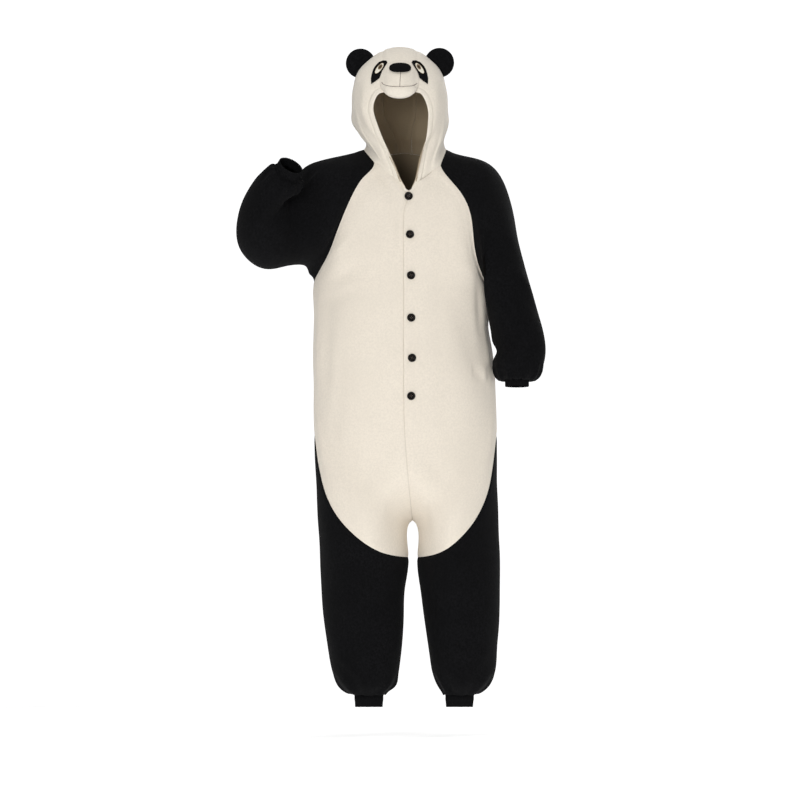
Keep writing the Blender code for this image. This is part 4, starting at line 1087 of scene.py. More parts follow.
def stand_clear(points, cells, tree, gap):
    """Points moved out until every cell between them keeps the gap from the cloth under it."""
    places = [Vector(point) for point in points]
    for _ in range(CLEAR_ROUNDS):
        for cell in cells:
            corners = [places[index] for index in cell]
            samples = [(a + b) / 2 for a, b in zip(corners, corners[1:] + corners[:1])]
            samples.append(sum(corners, Vector()) / len(corners))
            for sample in samples + corners:
                near, normal, _, _ = tree.find_nearest(sample)
                short = gap - (sample - near).dot(normal)
                if short > 0.0:
                    for index in cell:
                        places[index] += normal * short
                    break
    return places


def line_shift(points, rows):
    """How far a table of folds moves each point outward."""
    shift = np.zeros(len(points))
    for row in rows:
        start = np.array(row[0:3])
        line = np.array(row[3:6]) - start
        share = np.clip((points - start) @ line / (line @ line), 0.0, 1.0)
        distance = np.linalg.norm(points - start - share[:, None] * line, axis=1)
        taper = lerp(FOLD_END_SHARE, 1.0, np.sin(math.pi * share))
        shift -= row[7] * taper * np.exp(-((distance / row[6]) ** 2))
    return shift


def gather_shift(points, rows):
    """How far the gathers beside the cuffs move each point outward."""
    shift = np.zeros(len(points))
    for row in rows:
        along = np.array(row[3:6])
        along /= np.linalg.norm(along)
        offset = points - np.array(row[0:3])
        height = offset @ along
        offset = offset - height[:, None] * along
        near = (height > GATHER_START) & (height < row[7])
        near &= np.linalg.norm(offset, axis=1) < GATHER_RADIUS
        reference = np.array((1.0, 0.0, 0.0)) - along * along[0]
        reference /= np.linalg.norm(reference)
        angle = np.arctan2(offset @ np.cross(along, reference), offset @ reference)
        fade = np.sin(math.pi * np.clip((height - GATHER_START) / row[7], 0.0, 1.0))
        shift += np.where(near, row[8] * fade * np.cos(row[6] * angle), 0.0)
    return shift


def outward(points, cells):
    """Unit outward direction of the skin at each point."""
    across = points[cells[:, 2]] - points[cells[:, 0]]
    up = points[cells[:, 3]] - points[cells[:, 1]]
    face = np.cross(across, up)
    total = np.zeros_like(points)
    for corner in range(4):
        np.add.at(total, cells[:, corner], face)
    return total / np.maximum(np.linalg.norm(total, axis=1), 1e-12)[:, None]


SKINS = {}


def smooth_skin(levels):
    """The whole suit as one fine skin, with the panel of each cell and the panel across each of its edges."""
    if levels in SKINS:
        return SKINS[levels]
    cage = build_cage()
    mesh = bpy.data.meshes.new("skin")
    mesh.from_pydata([tuple(place) for place in fitted_points(cage)], [], cage.cells)
    for _ in PANELS:
        mesh.materials.append(None)
    for face, panel in zip(mesh.polygons, cage.panels):
        face.material_index = PANELS.index(panel)
    guide = bpy.data.objects.new("skin_guide", mesh)
    bpy.context.scene.collection.objects.link(guide)
    smooth = guide.modifiers.new("smooth", "SUBSURF")
    smooth.levels = levels
    smooth.render_levels = levels
    smooth.boundary_smooth = "ALL"
    bpy.context.view_layer.update()
    evaluated = guide.evaluated_get(bpy.context.evaluated_depsgraph_get())
    fine = evaluated.to_mesh()
    points = np.empty(len(fine.vertices) * 3)
    fine.vertices.foreach_get("co", points)
    points = points.reshape(-1, 3)
    cells = np.empty(len(fine.loops), dtype=np.int64)
    fine.loops.foreach_get("vertex_index", cells)
    cells = cells.reshape(-1, 4)
    kinds = np.empty(len(fine.polygons), dtype=np.int32)
    fine.polygons.foreach_get("material_index", kinds)
    evaluated.to_mesh_clear()
    bpy.data.objects.remove(guide)
    bpy.data.meshes.remove(mesh)
    normals = outward(points, cells)
    uneven = np.array([noise.noise(Vector(place) * UNEVEN_SCALE) for place in points])
    shift = line_shift(points, FOLDS + CREASES) + gather_shift(points, GATHERS + FINE_GATHERS)
    points = points + normals * (shift + uneven * UNEVEN_DEPTH)[:, None]
    after = np.roll(cells, -1, axis=1)
    keys = (np.minimum(cells, after) * len(points) + np.maximum(cells, after)).ravel()
    owner = np.repeat(kinds, 4)
    order = np.argsort(keys, kind="stable")
    pair = np.nonzero(keys[order[1:]] == keys[order[:-1]])[0]
    across = np.full(len(keys), -1)
    across[order[pair]] = owner[order[pair + 1]]
    across[order[pair + 1]] = owner[order[pair]]
    SKINS[levels] = {
        "points": points,
        "normals": outward(points, cells),
        "cells": cells,
        "kinds": kinds,
        "across": across.reshape(-1, 4),
    }
    return SKINS[levels]


def border(skin, panel):
    """Edges round a panel: their start and end points, inward directions and the panel across each."""
    own = np.nonzero(skin["kinds"] == panel)[0]
    rows, corners = np.nonzero(skin["across"][own] != panel)
    cells = skin["cells"][own[rows]]
    start = cells[np.arange(len(rows)), corners]
    end = cells[np.arange(len(rows)), (corners + 1) % 4]
    along = skin["points"][end] - skin["points"][start]
    inward = np.cross(skin["normals"][start] + skin["normals"][end], along)
    inward /= np.linalg.norm(inward, axis=1)[:, None]
    return start, end, inward, skin["across"][own[rows], corners]


def distance_to(points, starts, ends):
    """Distance of each point from a set of short edges."""
    if not len(starts):
        return np.full(len(points), 1.0)
    samples = []
    for step in range(BORDER_SAMPLES):
        samples.append(lerp(starts, ends, step / BORDER_SAMPLES))
    samples = np.concatenate(samples)
    tree = KDTree(len(samples))
    for index, place in enumerate(samples):
        tree.insert(place, index)
    tree.balance()
    return np.array([tree.find(place)[2] for place in points])


def soft_step(value):
    value = np.clip(value, 0.0, 1.0)
    return value * value * (3.0 - 2.0 * value)


def sewn_shift(name, points, far):
    """How far seams, hems and the lap move a panel's points outward. far gives distances to its borders."""
    sizes = bpy.context.scene.panda_sizes
    seam = far("seam")
    shift = -sizes.seam_depth * np.exp(-((seam / SEAM_WIDTH) ** 2))
    shift += SEAM_PUFF * np.exp(-(((seam - SEAM_PUFF_AT) / SEAM_WIDTH) ** 2))
    if name.startswith("hood"):
        hem = far("open")
        shift += HEM_RISE * soft_step((sizes.hem_width - hem) / HEM_STEP)
        shift -= HEM_DIP * np.exp(-(((hem - sizes.hem_width - HEM_STEP / 2) / HEM_STEP) ** 2))
        shift -= HEM_RISE * np.exp(-((hem / HEM_EDGE) ** 2))
    lap = far("lap")
    if name == "front_left":
        fade = 1.0 - soft_step((lap - LAP_FULL_WIDTH) / LAP_FADE_WIDTH)
        end = soft_step((points[:, 2] - STAND_END_Z) / LAP_END_FADE + 1.0)
        shift += LAP_RAISE * fade * end
        shift -= LAP_EDGE_ROUND * np.exp(-((lap / LAP_EDGE_WIDTH) ** 2))
    return shift


def panel_shell(name, levels):
    """Points of a panel's outer face and their outward directions, and its cells."""
    skin = smooth_skin(levels)
    panel = PANELS.index(name)
    cells = skin["cells"][skin["kinds"] == panel]
    used, local = np.unique(cells, return_inverse=True)
    local = local.reshape(cells.shape)
    points = skin["points"][used]
    normals = skin["normals"][used]
    start, end, inward, others = border(skin, panel)
    lap_pair = [PANELS.index("front_right"), PANELS.index("front_left")]
    is_lap = np.isin(others, lap_pair) & (panel in lap_pair)
    kinds = {"open": others < 0, "lap": is_lap, "seam": (others >= 0) & ~is_lap}

    def far(kind):
        chosen = kinds[kind]
        return distance_to(points, skin["points"][start[chosen]], skin["points"][end[chosen]])

    step = np.zeros_like(skin["points"])
    np.add.at(step, start, inward)
    np.add.at(step, end, inward)
    step = step[used]
    length = np.linalg.norm(step, axis=1)
    step[length > 0] /= length[length > 0][:, None]
    shift = sewn_shift(name, points, far)
    points = points + step * SHOWN_GAP / 2 + normals * shift[:, None]
    # Distances to the seams and to the lap's edge, along which the fleece paints a line of shade
    marked = np.minimum(far("seam"), far("lap") * LAP_SHADOW_SHARE)
    return points, outward(points, local), local, marked


def closed_mesh(name, outer, inner, cells):
    """A closed wall: the outer cells, the same cells on the inner points, and a rim along the border."""
    count = len(outer)
    cells = [list(map(int, cell)) for cell in cells]
    faces = cells + [[index + count for index in reversed(cell)] for cell in cells]
    uses = set()
    for cell in cells:
        uses.update(zip(cell, cell[1:] + cell[:1]))
    for start, end in sorted(uses):
        if (end, start) not in uses:
            faces.append([end, start, start + count, end + count])
    mesh = bpy.data.meshes.new(name)
    mesh.from_pydata([tuple(p) for p in outer] + [tuple(p) for p in inner], [], faces)
    mesh.update()
    mesh.shade_smooth()
    mesh.set_sharp_from_angle(angle=math.radians(CLOTH_SHARP_DEGREES))
    return mesh


def add_piece(name, mesh, material, nodes):
    """A finished piece: at the origin, riding on the suit, in place of the plain solids it stands for."""
    piece = bpy.data.objects.new(name, mesh)
    bpy.context.scene.collection.objects.link(piece)
    if material:
        mesh.materials.clear()
        mesh.materials.append(material)
    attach(piece, "root")
    if nodes:
        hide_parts(*nodes)
    return piece


def surface_tree(points, cells):
    return BVHTree.FromPolygons([tuple(place) for place in points], [tuple(map(int, cell)) for cell in cells])


def cloth_piece(row, material):
    """One sewn piece of cloth as a closed wall, whose surface later pieces are laid on."""
    name, levels, held, width, length, sewn_to = row
    points, normals, cells, seam = panel_shell(name, levels)
    SHELLS[name] = surface_tree(points, cells)
    mesh = closed_mesh(name, points, points - normals * WALL, cells)
    add_distances(mesh, seam)
    piece = add_piece(f"cloth_{name}", mesh, material, [name])
    area = shell_area(points, cells)
    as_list(sewn_to)
    return piece


SHELLS = {}


def ring_cells(count, rings):
    """Cells of a middle point with rings of points round it."""
    cells = []
    for step in range(count):
        after = (step + 1) % count
        cells.append([0, 1 + step, 1 + after])
        for ring in range(1, rings):
            inner = 1 + (ring - 1) * count
            outer = 1 + ring * count
            cells.append([inner + step, outer + step, outer + after, inner + after])
    return cells


def pad_points(outline, rings, tree, gap, swell, edge_share):
    """Back and front points of a piece sewn on the front, and the cells between them."""
    count = len(outline)
    middle_x = sum(x for x, _ in outline) / count
    middle_z = sum(z for _, z in outline) / count
    back = []
    rise = []
    for ring in range(rings + 1):
        share = math.sin(math.pi / 2 * ring / rings)
        for x, z in outline if ring else outline[:1]:
            x = lerp(middle_x, x, share)
            z = lerp(middle_z, z, share)
            back.append((x, front_depth(tree, x, z) - gap, z))
            rise.append(swell(share, edge_share(x, z)))
    cells = ring_cells(count, rings)
    back = stand_clear(back, cells, tree, gap)
    back[0].y = sum(place.y for place in back[1 : count + 1]) / count
    front = [place - Vector((0.0, rise_here, 0.0)) for place, rise_here in zip(back, rise)]
    return front, back, cells


def round_swell(edge, rise, rim):
    """Height of a padded piece over its back: full in the middle, rounded down to its rim at the edge."""

    def swell(share, firm):
        body = edge + rise * math.sqrt(max(0.0, 1.0 - share * share))
        past_lip = max(0.0, share - PAD_LIP) / (1.0 - PAD_LIP)
        lip = math.sqrt(max(0.0, 1.0 - past_lip ** 2))
        full = rim + (body - rim) * lip
        soft = rim + (edge + rise - rim) * max(0.0, 1.0 - share * share) ** SOFT_POWER
        return lerp(soft, full, firm)

    return swell


def firm_all_round(x, z):
    return 1.0


def firm_below(x, z):
    """The muzzle's edge shows along its bottom only, and runs into the hood at its sides and top."""
    return smooth_step((MUZZLE["z"] - MUZZLE_FIRM_DROP - z) / MUZZLE_FIRM_FADE)


def face_piece(name, shape, rings, tree, gap, swell, firm, material):
    front, back, cells = pad_points(shape, rings, tree, gap, swell, firm)
    mesh = closed_mesh(name, front, back, cells)
    piece = add_piece(f"face_{name}", mesh, material, [name])
    return piece, BVHTree.FromPolygons(front, cells)


def polyline(name, points):
    mesh = bpy.data.meshes.new(name)
    mesh.from_pydata([tuple(p) for p in points], [(i, i + 1) for i in range(len(points) - 1)], [])
    return mesh


def node(tree, kind, inputs=None, **settings):
    """A node with its settings, and its inputs by name or number, each a value or another node's output."""
    made = tree.nodes.new(kind)
    for name, value in settings.items():
        setattr(made, name, value)
    for name, value in (inputs or {}).items():
        if isinstance(value, bpy.types.NodeSocket):
            tree.links.new(value, made.inputs[name])
        else:
            made.inputs[name].default_value = value
    return made.outputs[0] if made.outputs else None


def read(tree, kind, socket, **settings):
    """One output of a node that has no inputs to set."""
    node(tree, kind, None, **settings)
    return tree.nodes[-1].outputs[socket]


def geometry_tree(name, sizes):
    """An empty node tree that takes a mesh, the named sizes and a material, and gives a mesh."""
    tree = bpy.data.node_groups.new(name, "GeometryNodeTree")
    tree.interface.new_socket("Geometry", in_out="INPUT", socket_type="NodeSocketGeometry")
    for size in sizes:
        tree.interface.new_socket(size, in_out="INPUT", socket_type="NodeSocketFloat")
    tree.interface.new_socket("Material", in_out="INPUT", socket_type="NodeSocketMaterial")
    tree.interface.new_socket("Geometry", in_out="OUTPUT", socket_type="NodeSocketGeometry")
    return tree, tree.nodes.new("NodeGroupInput").outputs


def finish_tree(tree, geometry, material):
    whole = node(tree, "GeometryNodeRealizeInstances", {0: geometry})
    smooth = node(tree, "GeometryNodeSetShadeSmooth", {0: whole})
    coloured = node(tree, "GeometryNodeSetMaterial", {"Geometry": smooth, "Material": material})
    node(tree, "NodeGroupOutput", {0: coloured})
    return tree


def stitch_tree():
    """Stitches along a line of edges: an ellipsoid of thread at every pitch, turned along the line."""
    tree, inputs = geometry_tree("stitches", ("Pitch", "Length", "Thickness"))
    line = node(tree, "GeometryNodeMeshToCurve", {0: inputs["Geometry"]})
    spacing = {"Curve": line, "Length": inputs["Pitch"]}
    even = node(tree, "GeometryNodeResampleCurve", spacing, mode="LENGTH")
    ball_sizes = {"Segments": STITCH_SEGMENTS, "Rings": STITCH_RINGS, "Radius": 0.5}
    ball = node(tree, "GeometryNodeMeshUVSphere", ball_sizes)
    thick = inputs["Thickness"]
    size = node(tree, "ShaderNodeCombineXYZ", {0: inputs["Length"], 1: thick, 2: thick})
    thread = node(tree, "GeometryNodeTransform", {"Geometry": ball, "Scale": size})
    tangent = node(tree, "GeometryNodeInputTangent")
    turn = node(tree, "FunctionNodeAlignRotationToVector", {"Vector": tangent}, axis="X")
    sewn = {"Points": even, "Instance": thread, "Rotation": turn}
    rows = node(tree, "GeometryNodeInstanceOnPoints", sewn)
    return finish_tree(tree, rows, inputs["Material"])


def rib_tree():
    """Knitted ribs round a tube, whose points carry where they lie round it and how far the ribs reach."""
    tree, inputs = geometry_tree("ribs", ("Ribs", "Depth"))
    fine = node(tree, "GeometryNodeSubdivideMesh", {"Mesh": inputs["Geometry"], "Level": RIB_LEVEL})
    around = node(tree, "GeometryNodeInputNamedAttribute", {"Name": "around"}, data_type="FLOAT_VECTOR")
    parts = tree.nodes.new("ShaderNodeSeparateXYZ")
    tree.links.new(around, parts.inputs[0])
    angle = node(tree, "ShaderNodeMath", {0: parts.outputs[1], 1: parts.outputs[0]}, operation="ARCTAN2")
    turns = node(tree, "ShaderNodeMath", {0: angle, 1: inputs["Ribs"]}, operation="MULTIPLY")
    wave = node(tree, "ShaderNodeMath", {0: turns}, operation="COSINE")
    deep = node(tree, "ShaderNodeMath", {0: wave, 1: inputs["Depth"]}, operation="MULTIPLY")
    faded = node(tree, "ShaderNodeMath", {0: deep, 1: parts.outputs[2]}, operation="MULTIPLY")
    normal = node(tree, "GeometryNodeInputNormal")
    offset = node(tree, "ShaderNodeVectorMath", {"Vector": normal, "Scale": faded}, operation="SCALE")
    ribbed = node(tree, "GeometryNodeSetPosition", {"Geometry": fine, "Offset": offset})
    return finish_tree(tree, ribbed, inputs["Material"])


def grown(name, tree, mesh, sizes, material):
    """The plain mesh that a node tree makes from a mesh."""
    guide = bpy.data.objects.new(name, mesh)
    bpy.context.scene.collection.objects.link(guide)
    modifier = guide.modifiers.new(name, "NODES")
    modifier.node_group = tree
    values = dict(sizes, Material=material)
    for item in tree.interface.items_tree:
        if item.in_out == "INPUT" and item.name in values:
            modifier[item.identifier] = values[item.name]
    bpy.context.view_layer.update()
    graph = bpy.context.evaluated_depsgraph_get()
    result = bpy.data.meshes.new_from_object(guide.evaluated_get(graph), depsgraph=graph)
    guide.modifiers.remove(modifier)
    bpy.data.objects.remove(guide)
    if not result.polygons:
        raise RuntimeError(f"{name} came out empty")
    return result


def add_stitches(name, points, pitch, length, thickness, material):
    sizes = {"Pitch": pitch, "Length": length, "Thickness": thickness}
    mesh = grown(name, NODE_TREES["stitches"], polyline(name, points), sizes, material)
    return add_piece(name, mesh, None, [])


def border_line(names, levels, kind):
    """Points of some panels' border that is open or on the lap, in order, with their inward directions."""
    skin = smooth_skin(levels)
    follow = {}
    for name in names:
        start, end, inward, others = border(skin, PANELS.index(name))
        chosen = others < 0 if kind == "open" else others == PANELS.index("front_right")
        for a, b, side in zip(start[chosen], end[chosen], inward[chosen]):
            follow[int(a)] = (int(b), side)
    ends = {value[0] for value in follow.values()}
    lowest = sorted(follow, key=lambda index: (index in ends, skin["points"][index][2]))
    place = lowest[0]
    order = []
    sides = []
    while place in follow:
        after, side = follow.pop(place)
        order.append(place)
        sides.append(side)
        place = after
    return skin["points"][order], np.array(sides)


def laid_line(points, sides, offset, trees):
    """A border's line moved into the cloth and laid on its surface."""
    for _ in range(LINE_SMOOTH_ROUNDS):
        sides[1:-1] = (sides[:-2] + 2 * sides[1:-1] + sides[2:]) / 4
    sides /= np.linalg.norm(sides, axis=1)[:, None]
    laid = []
    for place in points + sides * offset:
        hits = [tree.find_nearest(Vector(place)) for tree in trees]
        near, normal, _, _ = min(hits, key=lambda hit: hit[3])
        laid.append(near + normal * LINE_LIFT)
    return laid


def fleece(name, colour, shade, sheen, pile_depth, tint, gloss):
    """Short-pile fleece: soft clumps and fine pile, uneven in colour, with a line of painted shade at each
    seam and at the lap's edge, and painted shade on the inner wall.
    """
    material, tree, shader = blank_material(name)
    place = read(tree, "ShaderNodeTexCoord", "Object")
    broad = noise_texture(tree, place, BROAD_NOISE)
    clump = noise_texture(tree, place, CLUMP_NOISE)
    pile = noise_texture(tree, place, PILE_NOISE)
    light = tinted(colour, tint)
    dark = tinted(colour, shade)
    tone = ranged(tree, clump, *NOISE_RANGE, 0.0, 1.0)
    base = mixed(tree, tone, dark, light)
    wide = ranged(tree, broad, *BROAD_RANGE, 0.0, BROAD_SHADE)
    base = mixed(tree, wide, base, dark)
    seam = read(tree, "ShaderNodeAttribute", "Fac", attribute_name="seam")
    # Line of painted shade along the seams and the lap's edge
    line = ranged(tree, seam, 0.0, SEAM_LINE, 1.0, 0.0)
    # The inner wall is darkened to brown as painted shade
    inside = read(tree, "ShaderNodeAttribute", "Fac", attribute_name="inside")
    base = mixed(tree, line, base, tinted(colour, SEAM_PAINTED_SHADE))
    base = mixed(tree, inside, base, tinted(colour, INSIDE_PAINTED_SHADE))
    tree.links.new(base, shader.inputs["Base Color"])
    rough = ranged(tree, clump, *CLUMP_RANGE, *CLUMP_ROUGHNESS)
    tree.links.new(rough, shader.inputs["Roughness"])
    tufts = node(tree, "ShaderNodeMath", {0: clump, 1: CLUMP_HEIGHT}, operation="MULTIPLY")
    hairs = node(tree, "ShaderNodeMath", {0: pile, 1: PILE_HEIGHT}, operation="MULTIPLY")
    height = node(tree, "ShaderNodeMath", {0: tufts, 1: hairs}, operation="ADD")
    dip = node(tree, "ShaderNodeMath", {0: line, 1: SEAM_LINE_DEPTH}, operation="MULTIPLY")
    height = node(tree, "ShaderNodeMath", {0: height, 1: dip}, operation="SUBTRACT")
    bump = node(tree, "ShaderNodeBump", {"Strength": 1.0, "Distance": pile_depth, "Height": height})
    tree.links.new(bump, shader.inputs["Normal"])
    set_sockets(shader, {"Sheen Weight": sheen, "Sheen Roughness": 0.55, "Specular IOR Level": gloss})
    return material


def tinted(colour, share):
    """A colour made lighter or darker by a share, or by a share for each channel."""
    shares = share if isinstance(share, tuple) else (share,) * 3
    return (*[min(1.0, part * each) for part, each in zip(colour, shares)], 1.0)


def noise_texture(tree, place, look):
    """Noise at a place. look is its scale, detail, roughness and distortion."""
    inputs = dict(zip(("Scale", "Detail", "Roughness", "Distortion"), look), Vector=place)
    return node(tree, "ShaderNodeTexNoise", inputs)


def set_sockets(shader, values):
    for name, value in values.items():
        shader.inputs[name].default_value = value


def blank_material(name):
    material = bpy.data.materials.new(name)
    material.use_nodes = True
    tree = material.node_tree
    return material, tree, tree.nodes["Principled BSDF"]


def ranged(tree, value, low, high, start, end):
    """A value stretched from one range to another, kept between its ends."""
    inputs = {"Value": value, "From Min": low, "From Max": high, "To Min": start, "To Max": end}
    return node(tree, "ShaderNodeMapRange", inputs, interpolation_type="SMOOTHSTEP")


def mixed(tree, share, first, second):
    """Two colours mixed by a share."""
    mix = tree.nodes.new("ShaderNodeMix")
    mix.data_type = "RGBA"
    for socket, value in ((mix.inputs[0], share), (mix.inputs[6], first), (mix.inputs[7], second)):
        if isinstance(value, bpy.types.NodeSocket):
            tree.links.new(value, socket)
        else:
            socket.default_value = value
    return mix.outputs[2]


def textile(name, colour, scale, stretch, contrast, depth, roughness, sheen, gloss):
    """Felt, rib knit or thread: fibres that run along one direction more than across it."""
    material, tree, shader = blank_material(name)
    place = read(tree, "ShaderNodeTexCoord", "Object")
    place = node(tree, "ShaderNodeMapping", {"Vector": place, "Scale": stretch})
    fibre = noise_texture(tree, place, (scale, *FIBRE_NOISE))
    light = tinted(colour, 1.0 + contrast)
    dark = tinted(colour, 1.0 - contrast)
    base = mixed(tree, ranged(tree, fibre, *NOISE_RANGE, 0.0, 1.0), dark, light)
    tree.links.new(base, shader.inputs["Base Color"])
    rough = ranged(tree, fibre, *NOISE_RANGE, roughness, min(1.0, roughness + FIBRE_ROUGHER))
    tree.links.new(rough, shader.inputs["Roughness"])
    bump = node(tree, "ShaderNodeBump", {"Strength": 1.0, "Distance": depth, "Height": fibre})
    tree.links.new(bump, shader.inputs["Normal"])
    set_sockets(shader, {"Sheen Weight": sheen, "Sheen Roughness": 0.5, "Specular IOR Level": gloss})
    return material


def polished(name, colour):
    """Moulded button plastic: dark brown with faint lighter swirls and a thin coat."""
    material, tree, shader = blank_material(name)
    place = read(tree, "ShaderNodeTexCoord", "Object")
    swirl = noise_texture(tree, place, SWIRL_NOISE)
    streaks = ranged(tree, swirl, *SWIRL_RANGE, 0.0, 1.0)
    base = mixed(tree, streaks, tinted(colour, 1.0), tinted(colour, SWIRL_TINT))
    tree.links.new(base, shader.inputs["Base Color"])
    wear = noise_texture(tree, place, WEAR_NOISE)
    tree.links.new(ranged(tree, wear, *NOISE_RANGE, *WEAR_ROUGHNESS), shader.inputs["Roughness"])
    bump = node(tree, "ShaderNodeBump", {"Strength": WEAR_STRENGTH, "Distance": WEAR_DEPTH, "Height": wear})
    tree.links.new(bump, shader.inputs["Normal"])
    set_sockets(shader, {"Specular IOR Level": 0.09, "Coat Weight": 0.04, "Coat Roughness": 0.15})
    return material


def plain_stage(name, tone, glow):
    """Matt paper of the floor and the backdrop, very slightly uneven."""
    material, tree, shader = blank_material(name)
    place = read(tree, "ShaderNodeTexCoord", "Object")
    grain = noise_texture(tree, place, PAPER_NOISE)
    low, high = [(shade, shade, shade, 1.0) for shade in (tone - PAPER_UNEVEN, tone)]
    base = mixed(tree, ranged(tree, grain, *NOISE_RANGE, 0.0, 1.0), low, high)
    tree.links.new(base, shader.inputs["Base Color"])
    set_sockets(shader, {"Roughness": 0.95, "Specular IOR Level": 0.1, "Emission Color": (1.0, 1.0, 1.0, 1.0),
                         "Emission Strength": glow})
    return material


def ring_mesh(name, reaches, heights):
    """Rings of the floor or the backdrop round the middle, each at its own reach and height."""
    points = [(0.0, 0.0, heights[0])]
    for reach, height in zip(reaches[1:], heights[1:]):
        for step in range(STAGE_STEPS):
            angle = 2 * math.pi * step / STAGE_STEPS
            points.append((reach * math.cos(angle), reach * math.sin(angle), height))
    mesh = bpy.data.meshes.new(name)
    mesh.from_pydata(points, [], ring_cells(STAGE_STEPS, len(reaches) - 1))
    return mesh


def finish_for(name):
    """The material of that name, made on first use from the user's colours."""
    if name not in MATERIALS:
        maker = fleece if name in FLEECES else textile if name in TEXTILES else polished
        colour, *look = FLEECES.get(name) or TEXTILES.get(name) or (name,)
        MATERIALS[name] = maker(name, getattr(bpy.context.scene.panda_colours, colour), *look)
    return MATERIALS[name]


MATERIALS = {}
NODE_TREES = {}


def colour_property(label, what, colour):
    return bpy.props.FloatVectorProperty(
        name=label, description=what, default=colour, size=3, subtype="COLOR", min=0.0, max=1.0
    )


def length_property(label, what, size, low, high):
    return bpy.props.FloatProperty(
        name=label, description=what, default=size, min=low, max=high,
        subtype="DISTANCE", unit="LENGTH", precision=4,
    )


class PandaCostumeSizes(bpy.types.PropertyGroup):
    """Sizes of the sewing that a user would change"""

    hem_width: length_property("Hem width", "Width of the hem round the face opening", 0.014, 0.006, 0.03)
    seam_depth: length_property("Seam depth", "How far the cloth sinks in at a seam", 0.0015, 0.0, 0.004)
    stitch_pitch: length_property("Stitch pitch", "From one stitch of a hem to the next", 0.0042, 0.002, 0.01)
    stitch_length: length_property("Stitch length", "Length of one stitch of a hem", 0.0030, 0.001, 0.008)
    stitch_thickness: length_property("Thread", "Thickness of the sewing thread", 0.0006, 0.0002, 0.002)
    rib_count: bpy.props.IntProperty(
        name="Ribs", description="Ribs round each cuff", default=48, min=20, max=96
    )
    rib_depth: length_property("Rib depth", "Half the height of a rib of the cuffs", 0.0007, 0.0, 0.002)
    button_diameter: length_property("Button", "Diameter of a button", BUTTON_RADIUS * 2, 0.01, 0.04)


class PandaCostumeColours(bpy.types.PropertyGroup):
    """Colours of the cloth, thread and buttons"""

    cream: colour_property("Cream fleece", "Body of the suit", (0.806, 0.735, 0.632))
    hood: colour_property("Hood fleece", "Hood, hem and muzzle", (0.832, 0.765, 0.660))
    black: colour_property(
        "Black fleece", "Sleeves, legs, ears, nose and eye patches", (0.0048, 0.0048, 0.0054)
    )
    eye_white: colour_property("Eye white", "Felt of the eyes", (0.84, 0.80, 0.68))
    iris: colour_property("Iris", "Embroidery of the irises", (0.16, 0.10, 0.045))
    eye_line: colour_property("Eye line", "Thread round the eyes", (0.22, 0.13, 0.045))
    mouth: colour_property("Mouth", "Thread of the mouth and muzzle seam", (0.085, 0.045, 0.035))
    button: colour_property("Button", "Plastic of the buttons", (0.0050, 0.0032, 0.0024))
    button_thread: colour_property("Button thread", "Thread that holds the buttons", (0.09, 0.065, 0.05))


class CreamCloth(bpy.types.Operator):
    """Fronts, back and hood of cream fleece, with sunk seams and a raised hem round the face"""

    bl_idname = "costume.cream_cloth"
    bl_label = "Cream Cloth"

    def execute(self, context):
        for row in CREAM_PIECES:
            material = "hood_fleece" if row[0].startswith("hood") else "cream_fleece"
            cloth_piece(row, finish_for(material))
        return {"FINISHED"}


class BlackCloth(bpy.types.Operator):
    """Raglan sleeves and legs of black fleece, gathered onto their cuffs"""

    bl_idname = "costume.black_cloth"
    bl_label = "Black Cloth"

    def execute(self, context):
        for row in BLACK_PIECES:
            cloth_piece(row, finish_for("black_fleece"))
        return {"FINISHED"}


class Cuffs(bpy.types.Operator):
    """Ribbed cuffs at the wrists and ankles"""

    bl_idname = "costume.cuffs"
    bl_label = "Ribbed Cuffs"

    def execute(self, context):
        sizes = context.scene.panda_sizes
        for name, sewn_to in CUFFS:
            points, normals, cells, _ = panel_shell(name, CUFF_LEVELS)
            middle = points.mean(axis=0)
            _, _, axes = np.linalg.svd(points - middle, full_matrices=False)
            along = axes[2]
            across = axes[0]
            up = np.cross(along, across)
            offset = points - middle
            spread = np.stack([offset @ across, offset @ up], axis=1)
            spread /= np.linalg.norm(spread, axis=1)[:, None]
            mesh = closed_mesh(name, points, points - normals * WALL, cells)
            around = mesh.attributes.new("around", "FLOAT_VECTOR", "POINT")
            outer = np.column_stack([spread, np.ones(len(points))])
            inner = np.column_stack([spread, np.zeros(len(points))])
            around.data.foreach_set("vector", np.concatenate([outer, inner]).ravel())
            rib_sizes = {"Ribs": float(sizes.rib_count), "Depth": sizes.rib_depth}
            knit = grown(name, NODE_TREES["ribs"], mesh, rib_sizes, finish_for("black_rib"))
            piece = add_piece(f"knit_{name}", knit, None, [name])
            area = shell_area(points, cells) * CUFF_RIB_AREA
        return {"FINISHED"}


def shell_area(points, cells):
    across = points[cells[:, 2]] - points[cells[:, 0]]
    up = points[cells[:, 3]] - points[cells[:, 1]]
    return float(np.linalg.norm(np.cross(across, up), axis=1).sum() / 2)


